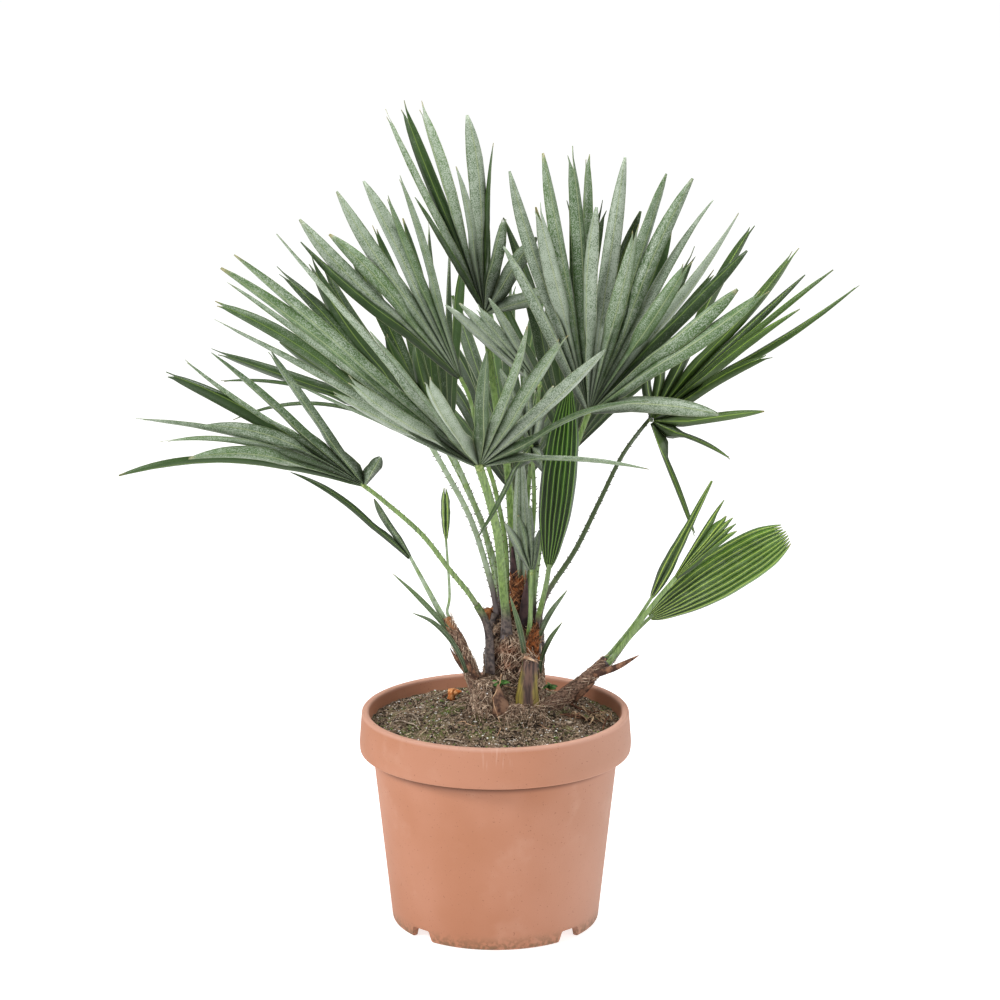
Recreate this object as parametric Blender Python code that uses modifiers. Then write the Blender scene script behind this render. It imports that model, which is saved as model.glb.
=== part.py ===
"""A potted European fan palm: silver fan leaves on spiny stalks, a short
fibrous trunk with two side shoots, soil, and a flanged pot with a notched foot.

Units are metres, +Z is up, and the pot stands on z = 0 with its axis on Z.
The palm's front is towards -Y.
"""
import math

import bmesh
import bpy
from mathutils import Matrix, Vector

# Driving dimensions
POT_HEIGHT = 0.241
RIM_RADIUS = 0.148            # outer radius at the top of the rim
BAND_RADIUS = 0.151           # widest part of the band under the rim
BAND_BOTTOM = 0.194
BODY_TOP_RADIUS = 0.1355
FOOT_RADIUS = 0.115
WALL = 0.0065
FLOOR_TOP = 0.020
FLOOR_UNDERSIDE = 0.014
FOOT_RING = 0.008             # radial thickness of the standing ring
PAD_RADIUS = 0.032            # flat pad in the middle of the underside
NOTCH_HEIGHT = 0.0135
SEAT = 0.0003                 # clearance where two pieces rest on each other
SOIL_EDGE = 0.227
SOIL_TOP = 0.246              # flat crown of the root ball under the trunk
SOIL_CROWN_RADIUS = 0.068
TRUNK_X = 0.0205
TRUNK_RADIUS = 0.034
TRUNK_TOP = 0.318
BLADE_THICKNESS = 0.0008
VIEW_LEAN = math.radians(13)  # the fans are laid out in planes leaning back by this

for leftover in list(bpy.data.objects):
    bpy.data.objects.remove(leftover)

palm = bpy.data.collections.new("potted_fan_palm")
bpy.context.scene.collection.children.link(palm)


def material(name, color, roughness):
    mat = bpy.data.materials.new(name)
    mat.use_nodes = True
    shader = mat.node_tree.nodes["Principled BSDF"]
    shader.inputs["Base Color"].default_value = (*color, 1.0)
    shader.inputs["Roughness"].default_value = roughness
    shader.inputs["Metallic"].default_value = 0.0
    mat.diffuse_color = (*color, 1.0)
    return mat


terracotta = material("terracotta", (0.58, 0.27, 0.16), 0.62)
soil_brown = material("soil", (0.13, 0.09, 0.065), 0.95)
fibre_brown = material("trunk_fibre", (0.17, 0.10, 0.065), 0.9)
sheath = material("leaf_base", (0.16, 0.13, 0.05), 0.6)
silver_leaf = material("silver_leaf", (0.25, 0.32, 0.22), 0.55)
green_leaf = material("green_leaf", (0.07, 0.15, 0.04), 0.5)
stalk_green = material("stalk", (0.17, 0.29, 0.09), 0.45)


def add_object(name, data, mat):
    obj = bpy.data.objects.new(name, data)
    obj.data.materials.append(mat)
    palm.objects.link(obj)
    return obj


def mesh_object(name, bm, mat):
    bmesh.ops.recalc_face_normals(bm, faces=bm.faces)
    mesh = bpy.data.meshes.new(name)
    bm.to_mesh(mesh)
    bm.free()
    return add_object(name, mesh, mat)


def turned(name, profile, mat, steps=48, center=(0, 0)):
    """A solid of revolution from (radius, z) points, run down its outer side."""
    bm = bmesh.new()
    verts = [bm.verts.new((r, 0, z)) for r, z in profile]
    for a, b in zip(verts, verts[1:]):
        bm.edges.new((a, b))
    if profile[0][0] > 0 and profile[-1][0] > 0:
        bm.edges.new((verts[-1], verts[0]))
    mesh = bpy.data.meshes.new(name)
    bm.to_mesh(mesh)
    bm.free()
    mesh.transform(Matrix.Translation((0, 0, 0)))
    obj = add_object(name, mesh, mat)
    screw = obj.modifiers.new("turn", "SCREW")
    screw.axis = "Z"
    screw.steps = steps
    screw.render_steps = steps
    screw.use_merge_vertices = True
    screw.merge_threshold = 0.00005
    obj.location = (center[0], center[1], 0)
    return obj


def cutter(name, bm):
    obj = mesh_object(name, bm, terracotta)
    palm.objects.unlink(obj)
    bpy.context.scene.collection.objects.link(obj)
    obj.hide_render = True
    obj.display_type = "WIRE"
    return obj


def cut(obj, tool):
    mod = obj.modifiers.new("cut_" + tool.name, "BOOLEAN")
    mod.operation = "DIFFERENCE"
    mod.solver = "EXACT"
    mod.object = tool


def tube(name, points, radii, mat, sides=2):
    """A round stalk along hand-chosen points, closed at both ends."""
    curve = bpy.data.curves.new(name, "CURVE")
    curve.dimensions = "3D"
    curve.bevel_depth = 1.0
    curve.bevel_resolution = sides
    curve.use_fill_caps = True
    spline = curve.splines.new("POLY")
    spline.points.add(len(points) - 1)
    for i, (point, place) in enumerate(zip(spline.points, points)):
        share = i / (len(points) - 1)
        point.co = (*place, 1.0)
        point.radius = radii[0] + (radii[1] - radii[0]) * share
    return add_object(name, curve, mat)


def view_axes(turn):
    """Right, up and forward of a fan's layout plane, turned about Z."""
    a = math.radians(turn)
    right = Vector((math.cos(a), math.sin(a), 0))
    level = Vector((math.sin(a), -math.cos(a), 0))
    up = Vector((0, 0, math.cos(VIEW_LEAN))) - level * math.sin(VIEW_LEAN)
    forward = Vector((0, 0, math.sin(VIEW_LEAN))) + level * math.cos(VIEW_LEAN)
    return right, up, forward


class Strip:
    """One leaf segment's midline, from the fan's hub to its tip."""

    def __init__(self, hub, axes, angle, reach, forward, bow):
        a = math.radians(angle)
        right, up, ahead = axes
        self.hub = hub
        self.run = (right * math.cos(a) + up * math.sin(a)) * reach + ahead * forward
        self.length = self.run.length
        self.bow = bow

    def at(self, share):
        lift = Vector((0, 0, 4 * self.bow * share * (1 - share)))
        return self.hub + self.run * share + lift

    def near(self, distance):
        return self.at(min(distance / self.length, 1.0))


def solidified(obj):
    mod = obj.modifiers.new("blade", "SOLIDIFY")
    mod.thickness = BLADE_THICKNESS
    mod.offset = 0.0
    mod.use_even_offset = False
    return obj


def fan(name, hub, strips, width, turn=0, mat=silver_leaf, web=0.4, fold=0.30):
    """A palm fan: folded strips that share a web around the hub.

    strips holds (angle, reach, forward, bow): degrees in the layout plane,
    metres along it, metres out of it, and how far the strip arches.
    """
    hub = Vector(hub)
    axes = view_axes(turn)
    lines = [Strip(hub, axes, *entry) for entry in sorted(strips)]
    count = len(lines)
    bm = bmesh.new()
    centre = bm.verts.new(hub)
    across = []
    for i, line in enumerate(lines):
        before = lines[max(i - 1, 0)].run.normalized()
        after = lines[min(i + 1, count - 1)].run.normalized()
        side = after - before
        own = line.run.normalized()
        side = (side - own * side.dot(own)).normalized()
        across.append(side)
    # the edge between two neighbours: a ring vertex near the hub and a notch
    ring = 0.014
    edge_near = [None] * (count + 1)
    edge_notch = [None] * (count + 1)
    for k in range(1, count):
        a, b = lines[k - 1], lines[k]
        shorter = min(a.length, b.length)
        gap = a.run.angle(b.run)
        reach = min(web * shorter, max(width / max(gap, 0.01), 0.028))
        reach = max(reach, ring * 1.5)
        edge_near[k] = bm.verts.new((a.near(ring) + b.near(ring)) / 2)
        edge_notch[k] = bm.verts.new((a.near(reach) + b.near(reach)) / 2)
    for k, i, sign in ((0, 0, -1), (count, count - 1, 1)):
        line = lines[i]
        out = across[i] * sign
        reach = web * line.length * 0.7
        edge_near[k] = bm.verts.new(line.near(ring) + out * 0.0022)
        edge_notch[k] = bm.verts.new(line.near(reach) + out * width * 0.30)
    mids_near = []
    for i, line in enumerate(lines):
        own = line.run.normalized()
        normal = across[i].cross(own) * -1
        if normal.dot(axes[2]) < 0:
            normal = -normal
        mid_near = bm.verts.new(line.near(ring))
        mids_near.append(mid_near)
        low, high = edge_notch[i], edge_notch[i + 1]
        reach = ((low.co - hub).length + (high.co - hub).length) / 2
        span = (high.co - low.co).length / 2
        mid_notch = bm.verts.new(line.near(reach) - normal * span * fold)
        bm.faces.new((centre, mid_near, edge_near[i]))
        bm.faces.new((centre, edge_near[i + 1], mid_near))
        bm.faces.new((edge_near[i], mid_near, mid_notch, low))
        bm.faces.new((mid_near, edge_near[i + 1], high, mid_notch))
        share = max(0.55, min(reach / line.length + 0.2, 0.8))
        half = width / 2
        for other in (i - 1, i + 1):
            if 0 <= other < count:
                spacing = (line.at(share) - lines[other].near(share * line.length)).length
                half = min(half, max(spacing * 0.6, 0.0025))
        belly = line.at(share)
        left = bm.verts.new(belly - across[i] * half)
        right = bm.verts.new(belly + across[i] * half)
        mid = bm.verts.new(belly - normal * half * fold)
        tip = bm.verts.new(line.at(1.0))
        bm.faces.new((low, mid_notch, mid, left))
        bm.faces.new((mid_notch, high, right, mid))
        bm.faces.new((left, mid, tip))
        bm.faces.new((mid, right, tip))
    return solidified(mesh_object(name, bm, mat))


def blade(name, foot, tip, width, pleats=1, turn=0, bow=0.0, mat=green_leaf, fold=0.3, belly=0.55):
    """A leaf that is still folded: pleats side by side in one narrow blade."""
    foot, tip = Vector(foot), Vector(tip)
    axes = view_axes(turn)
    run = tip - foot
    side = run.cross(axes[2]).normalized()
    normal = side.cross(run).normalized()
    if normal.dot(axes[2]) < 0:
        normal = -normal
    columns = 2 * pleats + 1
    stations = ((0.0, 0.16), (0.3, 0.75), (belly, 1.0), (0.82, 0.62), (1.0, 0.12))
    bm = bmesh.new()
    rows = []
    for share, fullness in stations:
        middle = foot + run * share + Vector((0, 0, 4 * bow * share * (1 - share)))
        half = width / 2 * fullness
        depth = width / pleats / 2 * fold * fullness
        row = []
        for c in range(columns):
            place = middle + side * half * (2 * c / (columns - 1) - 1)
            row.append(bm.verts.new(place - normal * depth * (c % 2)))
        rows.append(row)
    for low, high in zip(rows, rows[1:]):
        for c in range(columns - 1):
            bm.faces.new((low[c], low[c + 1], high[c + 1], high[c]))
    return solidified(mesh_object(name, bm, mat))


# Pot: one moulded shell with a band under the rim and a hollow underside
inner_top = RIM_RADIUS - WALL
inner_foot = FOOT_RADIUS - 0.005
ring_inside = FOOT_RADIUS - FOOT_RING
pot_profile = [
    (inner_top, POT_HEIGHT - 0.0025),
    (inner_top + 0.0025, POT_HEIGHT),
    (RIM_RADIUS - 0.0025, POT_HEIGHT),
    (RIM_RADIUS, POT_HEIGHT - 0.0025),
    (BAND_RADIUS, BAND_BOTTOM + 0.011),
    (BAND_RADIUS - 0.0012, BAND_BOTTOM + 0.005),
    (BAND_RADIUS - 0.0045, BAND_BOTTOM + 0.0014),
    (BAND_RADIUS - 0.0085, BAND_BOTTOM),
    (BODY_TOP_RADIUS + 0.001, BAND_BOTTOM + 0.0012),
    (BODY_TOP_RADIUS, BAND_BOTTOM - 0.002),
    (FOOT_RADIUS, 0.006),
    (FOOT_RADIUS - 0.0014, 0.0018),
    (FOOT_RADIUS - 0.0045, 0.0),
    (ring_inside, 0.0),
    (ring_inside, FLOOR_UNDERSIDE),
    (PAD_RADIUS + 0.006, FLOOR_UNDERSIDE),
    (PAD_RADIUS, 0.0),
    (0.0, 0.0),
]
inside_profile = [
    (0.0, FLOOR_TOP),
    (inner_foot - 0.003, FLOOR_TOP),
    (inner_foot, FLOOR_TOP + 0.003),
]
bm = bmesh.new()
outline = [bm.verts.new((r, 0, z)) for r, z in inside_profile + pot_profile]
for a, b in zip(outline, outline[1:]):
    bm.edges.new((a, b))
mesh = bpy.data.meshes.new("pot")
bm.to_mesh(mesh)
bm.free()
pot = add_object("pot", mesh, terracotta)
screw = pot.modifiers.new("turn", "SCREW")
screw.axis = "Z"
screw.steps = 64
screw.render_steps = 64
screw.use_merge_vertices = True
screw.merge_threshold = 0.00005

# four drain notches through the standing ring, each with sloping sides
bm = bmesh.new()
for turn in (45, 135, 225, 315):
    made = bmesh.ops.create_cube(bm, size=1.0)
    for vert in made["verts"]:
        top = vert.co.z > 0
        vert.co.x *= 0.030
        vert.co.y *= 0.024 if top else 0.034
        vert.co.z = NOTCH_HEIGHT if top else -0.004
        vert.co.x += FOOT_RADIUS - 0.002
    bmesh.ops.rotate(bm, verts=made["verts"], cent=(0, 0, 0), matrix=Matrix.Rotation(math.radians(turn), 3, "Z"))
notches = cutter("notch_cutter", bm)
cut(pot, notches)

# four round drain holes through the floor, in line with the notches
bm = bmesh.new()
for turn in (45, 135, 225, 315):
    a = math.radians(turn)
    place = Matrix.Translation((0.082 * math.cos(a), 0.082 * math.sin(a), 0.017))
    bmesh.ops.create_cone(bm, cap_ends=True, segments=16, radius1=0.006, radius2=0.006, depth=0.02, matrix=place)
drains = cutter("drain_cutter", bm)
cut(pot, drains)

# Soil: fills the pot to just under the rim and rises to a crown at the trunk
slope = (inner_top - inner_foot) / (POT_HEIGHT - 0.0025 - FLOOR_TOP - 0.003)
soil_radius = inner_foot + (SOIL_EDGE - FLOOR_TOP - 0.003) * slope - SEAT * 1.2
turned("soil", [
    (0.0, SOIL_TOP),
    (SOIL_CROWN_RADIUS, SOIL_TOP),
    (SOIL_CROWN_RADIUS + 0.022, SOIL_TOP - 0.008),
    (soil_radius - 0.015, SOIL_EDGE + 0.001),
    (soil_radius, SOIL_EDGE),
    (inner_foot - SEAT * 1.2, FLOOR_TOP + 0.0032),
    (inner_foot - 0.0036, FLOOR_TOP + SEAT),
    (0.0, FLOOR_TOP + SEAT),
], soil_brown, steps=64)

# Trunk: short, wrapped in fibre, flat where the stalks leave it
turned("trunk", [
    (0.0, TRUNK_TOP),
    (TRUNK_RADIUS - 0.0015, TRUNK_TOP),
    (TRUNK_RADIUS, TRUNK_TOP - 0.004),
    (TRUNK_RADIUS - 0.002, TRUNK_TOP - 0.030),
    (TRUNK_RADIUS, SOIL_TOP + 0.012),
    (TRUNK_RADIUS + 0.001, SOIL_TOP + SEAT),
    (0.0, SOIL_TOP + SEAT),
], fibre_brown, steps=24, center=(TRUNK_X, 0.0))


def shoot(name, points, radii):
    """A side shoot: a tapering stem, cut level where it stands on the soil."""
    bm = bmesh.new()
    rings = []
    for i, place in enumerate(points):
        here = Vector(place)
        before = Vector(points[max(i - 1, 0)])
        after = Vector(points[min(i + 1, len(points) - 1)])
        facing = (after - before).to_track_quat("Z", "Y").to_matrix().to_4x4()
        radius = radii[0] + (radii[1] - radii[0]) * i / (len(points) - 1)
        made = bmesh.ops.create_circle(
            bm, cap_ends=False, segments=14, radius=radius, matrix=Matrix.Translation(here) @ facing)
        rings.append(made["verts"])
    for low, high in zip(rings, rings[1:]):
        for k in range(14):
            bm.faces.new((low[k], low[(k + 1) % 14], high[(k + 1) % 14], high[k]))
    bm.faces.new(rings[0])
    bm.faces.new(rings[-1])
    level = SOIL_TOP + SEAT
    geom = bm.verts[:] + bm.edges[:] + bm.faces[:]
    bmesh.ops.bisect_plane(bm, geom=geom, plane_co=(0, 0, level), plane_no=(0, 0, 1), clear_inner=True)
    bmesh.ops.holes_fill(bm, edges=[e for e in bm.edges if e.is_boundary])
    return mesh_object(name, bm, fibre_brown)


LEFT_STEM = [(-0.006, -0.036, 0.232), (-0.011, -0.035, 0.250), (-0.028, -0.031, 0.297), (-0.054, -0.025, 0.352)]
RIGHT_STEM = [(0.054, 0.003, 0.230), (0.074, 0.0, 0.248), (0.098, -0.005, 0.273), (0.124, -0.010, 0.300)]
shoot("shoot_left", LEFT_STEM, (0.0115, 0.0085))
shoot("shoot_right", RIGHT_STEM, (0.0095, 0.0085))

# Old leaf bases: two stand on the soil in front of the trunk, one is a cut stub on top
tube("boot_front", [(0.036, -0.0465, SOIL_TOP + SEAT), (0.036, -0.0465, 0.270), (0.036, -0.0455, 0.310)], (0.0098, 0.0085), sheath)
tube("boot_left", [(0.009, -0.050, SOIL_TOP + SEAT), (0.009, -0.050, 0.258), (0.006, -0.048, 0.280)], (0.0100, 0.0050), sheath)
tube("boot_stub", [(-0.0065, 0.0095, TRUNK_TOP + SEAT), (-0.0065, 0.0095, 0.335), (-0.0075, 0.0095, 0.357)], (0.0042, 0.0046), fibre_brown)

# Leaf stalks: every route starts upright on the trunk's flat top and ends under its fan
BASE = TRUNK_TOP + SEAT
STALKS = {
    "front": ((0.0055, 0.0045), [(0.010, -0.020, BASE), (0.0115, -0.022, 0.352), (0.009, -0.030, 0.382),
              (0.006, -0.045, 0.420), (0.002, -0.060, 0.458), (-0.007, -0.078, 0.501), (-0.017, -0.090, 0.536)]),
    "left_low": ((0.0055, 0.0030), [(-0.003, -0.012, BASE), (-0.006, -0.020, 0.334), (-0.010, -0.027, 0.352),
                 (-0.024, -0.033, 0.381), (-0.047, -0.040, 0.411), (-0.079, -0.045, 0.452),
                 (-0.123, -0.050, 0.492), (-0.141, -0.050, 0.506)]),
    "mid_left": ((0.0042, 0.0032), [(0.001, 0.002, BASE), (0.001, 0.002, 0.351), (-0.005, 0.002, 0.385),
                 (-0.026, 0.002, 0.4545), (-0.0545, 0.0, 0.5115), (-0.082, 0.0, 0.560)]),
    "mid_back": ((0.0042, 0.0032), [(0.007, 0.014, BASE), (0.006, 0.016, 0.360), (0.000, 0.018, 0.400),
                 (-0.018, 0.022, 0.455), (-0.043, 0.027, 0.515), (-0.064, 0.032, 0.550)]),
    "left_top": ((0.0030, 0.0022), [(0.012, 0.004, BASE), (0.012, 0.008, 0.418), (0.001, 0.019, 0.481),
                 (-0.009, 0.026, 0.514), (-0.017, 0.029, 0.539), (-0.028, 0.030, 0.586), (-0.037, 0.030, 0.606)]),
    "back_tall": ((0.0055, 0.0035), [(0.020, 0.015, BASE), (0.021, 0.020, 0.380), (0.019, 0.031, 0.424),
                  (0.013, 0.060, 0.503), (0.000, 0.090, 0.570), (-0.012, 0.120, 0.664)]),
    "right_top": ((0.0042, 0.0032), [(0.043, 0.013, BASE), (0.042, 0.013, 0.364), (0.043, 0.016, 0.398),
                  (0.051, 0.021, 0.432), (0.091, 0.035, 0.538), (0.102, 0.040, 0.567)]),
    "right_low": ((0.0042, 0.0018), [(0.0475, 0.001, BASE), (0.048, 0.003, 0.340), (0.056, 0.010, 0.369),
                  (0.088, 0.025, 0.416), (0.1155, 0.040, 0.469), (0.141, 0.057, 0.517), (0.1705, 0.080, 0.5515), (0.172, 0.070, 0.553)]),
    "folded": ((0.0038, 0.0028), [(0.044, -0.013, BASE), (0.046, -0.026, 0.349), (0.050, -0.038, 0.370),
               (0.055, -0.047, 0.395), (0.058, -0.050, 0.415)]),
    "edge_on": ((0.0028, 0.0022), [(0.0315, 0.0235, BASE), (0.033, 0.025, 0.400), (0.036, 0.022, 0.480),
                (0.042, 0.010, 0.550), (0.048, -0.005, 0.607)]),
    "centre": ((0.0028, 0.0022), [(0.0335, 0.0130, BASE), (0.036, 0.012, 0.380), (0.041, 0.010, 0.440),
               (0.0425, 0.003, 0.480), (0.0405, -0.008, 0.525), (0.039, -0.017, 0.542), (0.039, -0.025, 0.5445)]),
    "young": ((0.0036, 0.0030), [(0.0355, -0.022, BASE), (0.038, -0.030, 0.350), (0.039, -0.034, 0.380), (0.0395, -0.035, 0.405)]),
    "spear": ((0.0058, 0.0040), [(0.028, -0.003, BASE), (0.0285, -0.002, 0.345), (0.029, 0.0, 0.364)]),
    "back_right": ((0.0038, 0.0030), [(0.040, 0.0235, BASE), (0.042, 0.036, 0.360), (0.052, 0.072, 0.425),
                   (0.068, 0.110, 0.470), (0.084, 0.140, 0.500)]),
    "back_left": ((0.0038, 0.0030), [(0.009, 0.0245, BASE), (0.004, 0.040, 0.360), (-0.012, 0.075, 0.425),
                  (-0.034, 0.110, 0.470), (-0.052, 0.135, 0.500)]),
    "back_low": ((0.0038, 0.0030), [(0.022, 0.0275, BASE), (0.023, 0.050, 0.350), (0.024, 0.100, 0.390),
                 (0.024, 0.150, 0.420), (0.022, 0.195, 0.440)]),
}
LEAF_GAP = BLADE_THICKNESS / 2 + SEAT
for part, (radii, route) in STALKS.items():
    last, before = Vector(route[-1]), Vector(route[-2])
    end = last - (last - before).normalized() * LEAF_GAP
    x, y, z = route[0]
    tube("stalk_" + part, [route[0], (x, y, z + 0.006)] + route[1:-1] + [tuple(end)], radii, stalk_green)

# Fans: (angle, reach, forward, bow) of every strip
FANS = {
    "front": (0.017, 0, silver_leaf, [
        (0, 0.178, 0.05, 0.011), (22, 0.19, 0.08, 0.008), (43, 0.178, 0.11, 0), (57, 0.163, 0.14, 0),
        (71, 0.152, 0.16, 0), (86, 0.12, 0.18, 0), (120, 0.104, 0.17, 0), (128, 0.18, 0.15, 0),
        (131, 0.315, 0.12, 0), (139, 0.335, 0.09, 0), (142, 0.34, 0.075, 0), (144, 0.325, 0.055, 0),
        (146, 0.165, 0.09, 0), (150, 0.322, 0.03, 0), (153, 0.172, 0.05, 0), (155, 0.22, 0.01, 0)]),
    "mid_left": (0.015, 0, green_leaf, [
        (178, 0.205, -0.02, 0.018), (166, 0.225, -0.02, 0.010), (159, 0.245, -0.02, 0.004), (148, 0.265, -0.01, 0),
        (140, 0.24, 0.0, 0), (132, 0.235, 0.0, 0), (123, 0.222, 0.0, 0)]),
    "mid_back": (0.014, 0, green_leaf, [
        (150, 0.20, -0.01, 0), (142, 0.22, -0.01, 0), (133, 0.21, 0.0, 0), (118, 0.12, 0.0, 0), (104, 0.10, 0.0, 0)]),
    "right_top": (0.019, 0, silver_leaf, [
        (-1, 0.14, 0.05, 0.012), (35, 0.235, 0.055, 0), (40, 0.21, 0.045, 0), (46, 0.25, 0.01, 0), (53, 0.275, -0.01, 0),
        (57, 0.20, 0.04, 0), (60, 0.275, 0.0, 0), (66, 0.28, 0.01, 0), (72, 0.275, 0.01, 0), (76, 0.21, 0.05, 0),
        (82, 0.285, 0.02, 0), (88, 0.222, 0.05, 0), (90, 0.285, -0.02, 0), (94, 0.295, 0.0, 0), (100, 0.288, 0.01, 0),
        (104, 0.235, 0.03, 0), (108, 0.28, 0.02, 0), (117, 0.205, 0.04, 0)]),
    "left_top": (0.018, 0, silver_leaf, [
        (107, 0.23, 0.03, 0), (112, 0.215, 0.02, 0), (116, 0.243, 0.01, 0), (123, 0.25, 0.0, 0), (132, 0.215, 0.01, 0),
        (135, 0.25, 0.0, 0), (139, 0.232, 0.01, 0)]),
    "back_tall": (0.019, 0, silver_leaf, [
        (19, 0.10, 0.05, 0), (55, 0.10, 0.06, 0), (78, 0.105, 0.05, 0), (87, 0.19, 0.0, 0), (95, 0.225, 0.0, 0),
        (101, 0.165, 0.03, 0), (107, 0.25, 0.0, 0), (111, 0.26, -0.01, 0), (116, 0.255, 0.0, 0), (121, 0.15, 0.03, 0)]),
    "right_low": (0.015, 0, green_leaf, [
        (-69, 0.134, 0.02, 0), (-26, 0.096, 0.03, 0), (5, 0.124, 0.03, -0.006), (29, 0.15, 0.035, 0), (33, 0.275, 0.0, 0),
        (37, 0.205, 0.02, 0), (40, 0.268, -0.03, 0), (43, 0.24, -0.05, 0), (50, 0.262, -0.06, 0), (62, 0.252, -0.06, 0),
        (78, 0.13, -0.02, 0), (95, 0.06, 0.0, 0)]),
    "left_low": (0.015, 0, silver_leaf, [
        (60, 0.037, 0.02, 0), (124, 0.18, 0.06, 0), (138, 0.215, 0.05, 0), (144, 0.235, 0.03, 0), (150, 0.245, 0.02, 0.005),
        (159, 0.18, 0.05, 0.015), (163, 0.255, 0.02, 0.017), (167, 0.222, 0.03, 0.018), (170, 0.187, 0.05, 0.012),
        (177, 0.262, 0.02, 0.02)]),
    "edge_on": (0.013, 0, silver_leaf, [
        (120, 0.11, 0.015, 0), (128, 0.112, 0.005, 0), (134, 0.125, 0.0, 0), (139, 0.135, -0.005, 0)]),
    "centre": (0.011, 0, silver_leaf, [
        (-121, 0.112, 0.08, 0.006), (-62, 0.033, 0.01, 0), (70, 0.07, 0.0, 0), (95, 0.085, 0.0, 0), (112, 0.09, 0.01, 0)]),
    "young": (0.011, 0, green_leaf, [
        (116, 0.062, 0.0, 0.004), (91, 0.072, 0.0, 0)]),
    "back_right": (0.019, 172, green_leaf, [
        (66, 0.26, 0.06, 0), (74, 0.275, 0.06, 0), (82, 0.28, 0.06, 0), (90, 0.285, 0.06, 0), (98, 0.285, 0.06, 0),
        (106, 0.28, 0.07, 0), (114, 0.27, 0.08, 0), (122, 0.26, 0.09, 0), (130, 0.245, 0.10, 0), (139, 0.22, 0.11, 0)]),
    "back_left": (0.018, 196, green_leaf, [
        (38, 0.18, 0.12, 0), (47, 0.20, 0.12, 0), (56, 0.22, 0.13, 0), (65, 0.23, 0.13, 0), (74, 0.235, 0.14, 0),
        (83, 0.235, 0.15, 0), (92, 0.22, 0.17, 0), (101, 0.20, 0.18, 0), (110, 0.17, 0.19, 0)]),
    "back_low": (0.017, 180, green_leaf, [
        (30, 0.14, 0.17, 0.01), (42, 0.16, 0.18, 0.01), (54, 0.17, 0.19, 0.01), (66, 0.18, 0.20, 0.01), (78, 0.18, 0.21, 0.01),
        (90, 0.18, 0.21, 0.01), (102, 0.18, 0.21, 0.01), (114, 0.18, 0.20, 0.01), (126, 0.17, 0.19, 0.01),
        (138, 0.15, 0.18, 0.01), (150, 0.13, 0.17, 0.01)]),
}
for part, (width, turn, mat, strips) in FANS.items():
    fan("fan_" + part, STALKS[part][1][-1], strips, width, turn, mat)

blade("fan_folded", (0.058, -0.050, 0.4147), (0.076, -0.052, 0.592), 0.040, pleats=4, mat=green_leaf)
blade("fan_spear", (0.029, 0.0, 0.3638), (0.0275, 0.002, 0.532), 0.018, pleats=2, mat=silver_leaf)

# Short sword leaves that grow straight from the trunk's top and flank
blade("sword_right_high", (0.0445, -0.0200, BASE + 0.0003), (0.0787, -0.030, 0.381), 0.009, bow=0.004, mat=green_leaf)
blade("sword_right_low", (0.0489, -0.0183, 0.300), (0.0733, -0.030, 0.345), 0.008, bow=-0.003, mat=green_leaf)
blade("sword_front", (0.0330, -0.0322, 0.3140), (0.0161, -0.040, 0.381), 0.009, bow=-0.003, mat=green_leaf)


def on_top_of(points, radii, offset, lift):
    """A point beside the centre of a side shoot's cut top, just clear of it."""
    end = Vector(points[-1])
    heading = (end - Vector(points[-2])).normalized()
    side = Vector((heading.z, 0, -heading.x)).normalized()
    depth = heading.cross(side).normalized()
    return end + side * offset[0] + depth * offset[1] + heading * lift, heading


# Side shoots' own stalks and leaves
def side_stalk(name, stem, offset, radii, route):
    start, heading = on_top_of(stem, radii, offset, SEAT)
    last = Vector(route[-1])
    before = Vector(route[-2]) if len(route) > 1 else start + heading * 0.006
    end = last - (last - before).normalized() * LEAF_GAP
    points = [tuple(start), tuple(start + heading * 0.006)] + route[:-1] + [tuple(end)]
    tube("stalk_" + name, points, radii, stalk_green)


side_stalk("shoot_left", LEFT_STEM, (-0.0030, 0.0), (0.0034, 0.0026), [(-0.091, -0.020, 0.416)])
side_stalk("sprout", LEFT_STEM, (0.0042, 0.0010), (0.0016, 0.0014), [(-0.0500, -0.0235, 0.380), (-0.0536, -0.022, 0.439)])
side_stalk("pleated", RIGHT_STEM, (0.0042, 0.0030), (0.0026, 0.0022), [(0.1500, -0.0005, 0.325), (0.1705, 0.0, 0.346)])
side_stalk("shoot_right", RIGHT_STEM, (0.0008, -0.0046), (0.0030, 0.0024), [(0.1706, -0.022, 0.364), (0.194, -0.030, 0.396)])
side_stalk("narrow", RIGHT_STEM, (-0.0048, 0.0018), (0.0018, 0.0016), [(0.150, -0.0105, 0.3420), (0.1705, -0.0105, 0.370)])

fan("fan_shoot_left", (-0.091, -0.020, 0.416), [(121, 0.080, 0.0, 0), (144, 0.162, 0.02, 0.008)], 0.011, 0, green_leaf)
fan("fan_shoot_right", (0.194, -0.030, 0.396), [(43, 0.092, 0.01, 0), (47, 0.095, 0.0, 0), (58, 0.106, -0.01, 0)], 0.012, 0, green_leaf)
blade("fan_sprout", (-0.0536, -0.022, 0.4388), (-0.0546, -0.022, 0.499), 0.010, mat=green_leaf)
blade("fan_pleated", (0.1703, 0.0, 0.3459), (0.320, 0.002, 0.441), 0.054, pleats=6, mat=green_leaf, fold=0.35)
blade("fan_narrow", (0.1705, -0.0105, 0.3698), (0.2355, -0.012, 0.503), 0.011, mat=green_leaf)
blade("sword_left_high", (-0.0590, -0.0255, 0.3400), (-0.112, -0.030, 0.398), 0.009, bow=0.002, mat=green_leaf)
blade("sword_left_low", (-0.0447, -0.0285, 0.3085), (-0.091, -0.034, 0.353), 0.008, bow=0.004, mat=green_leaf)
blade("bract_right", (0.1140, -0.0177, 0.2860), (0.1565, -0.024, 0.309), 0.010, mat=fibre_brown)
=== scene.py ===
"""Dressed model of a potted European fan palm: the pot, the soil, the trunk and
its side shoots, then every stalk and leaf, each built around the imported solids."""
import math
import random

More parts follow.
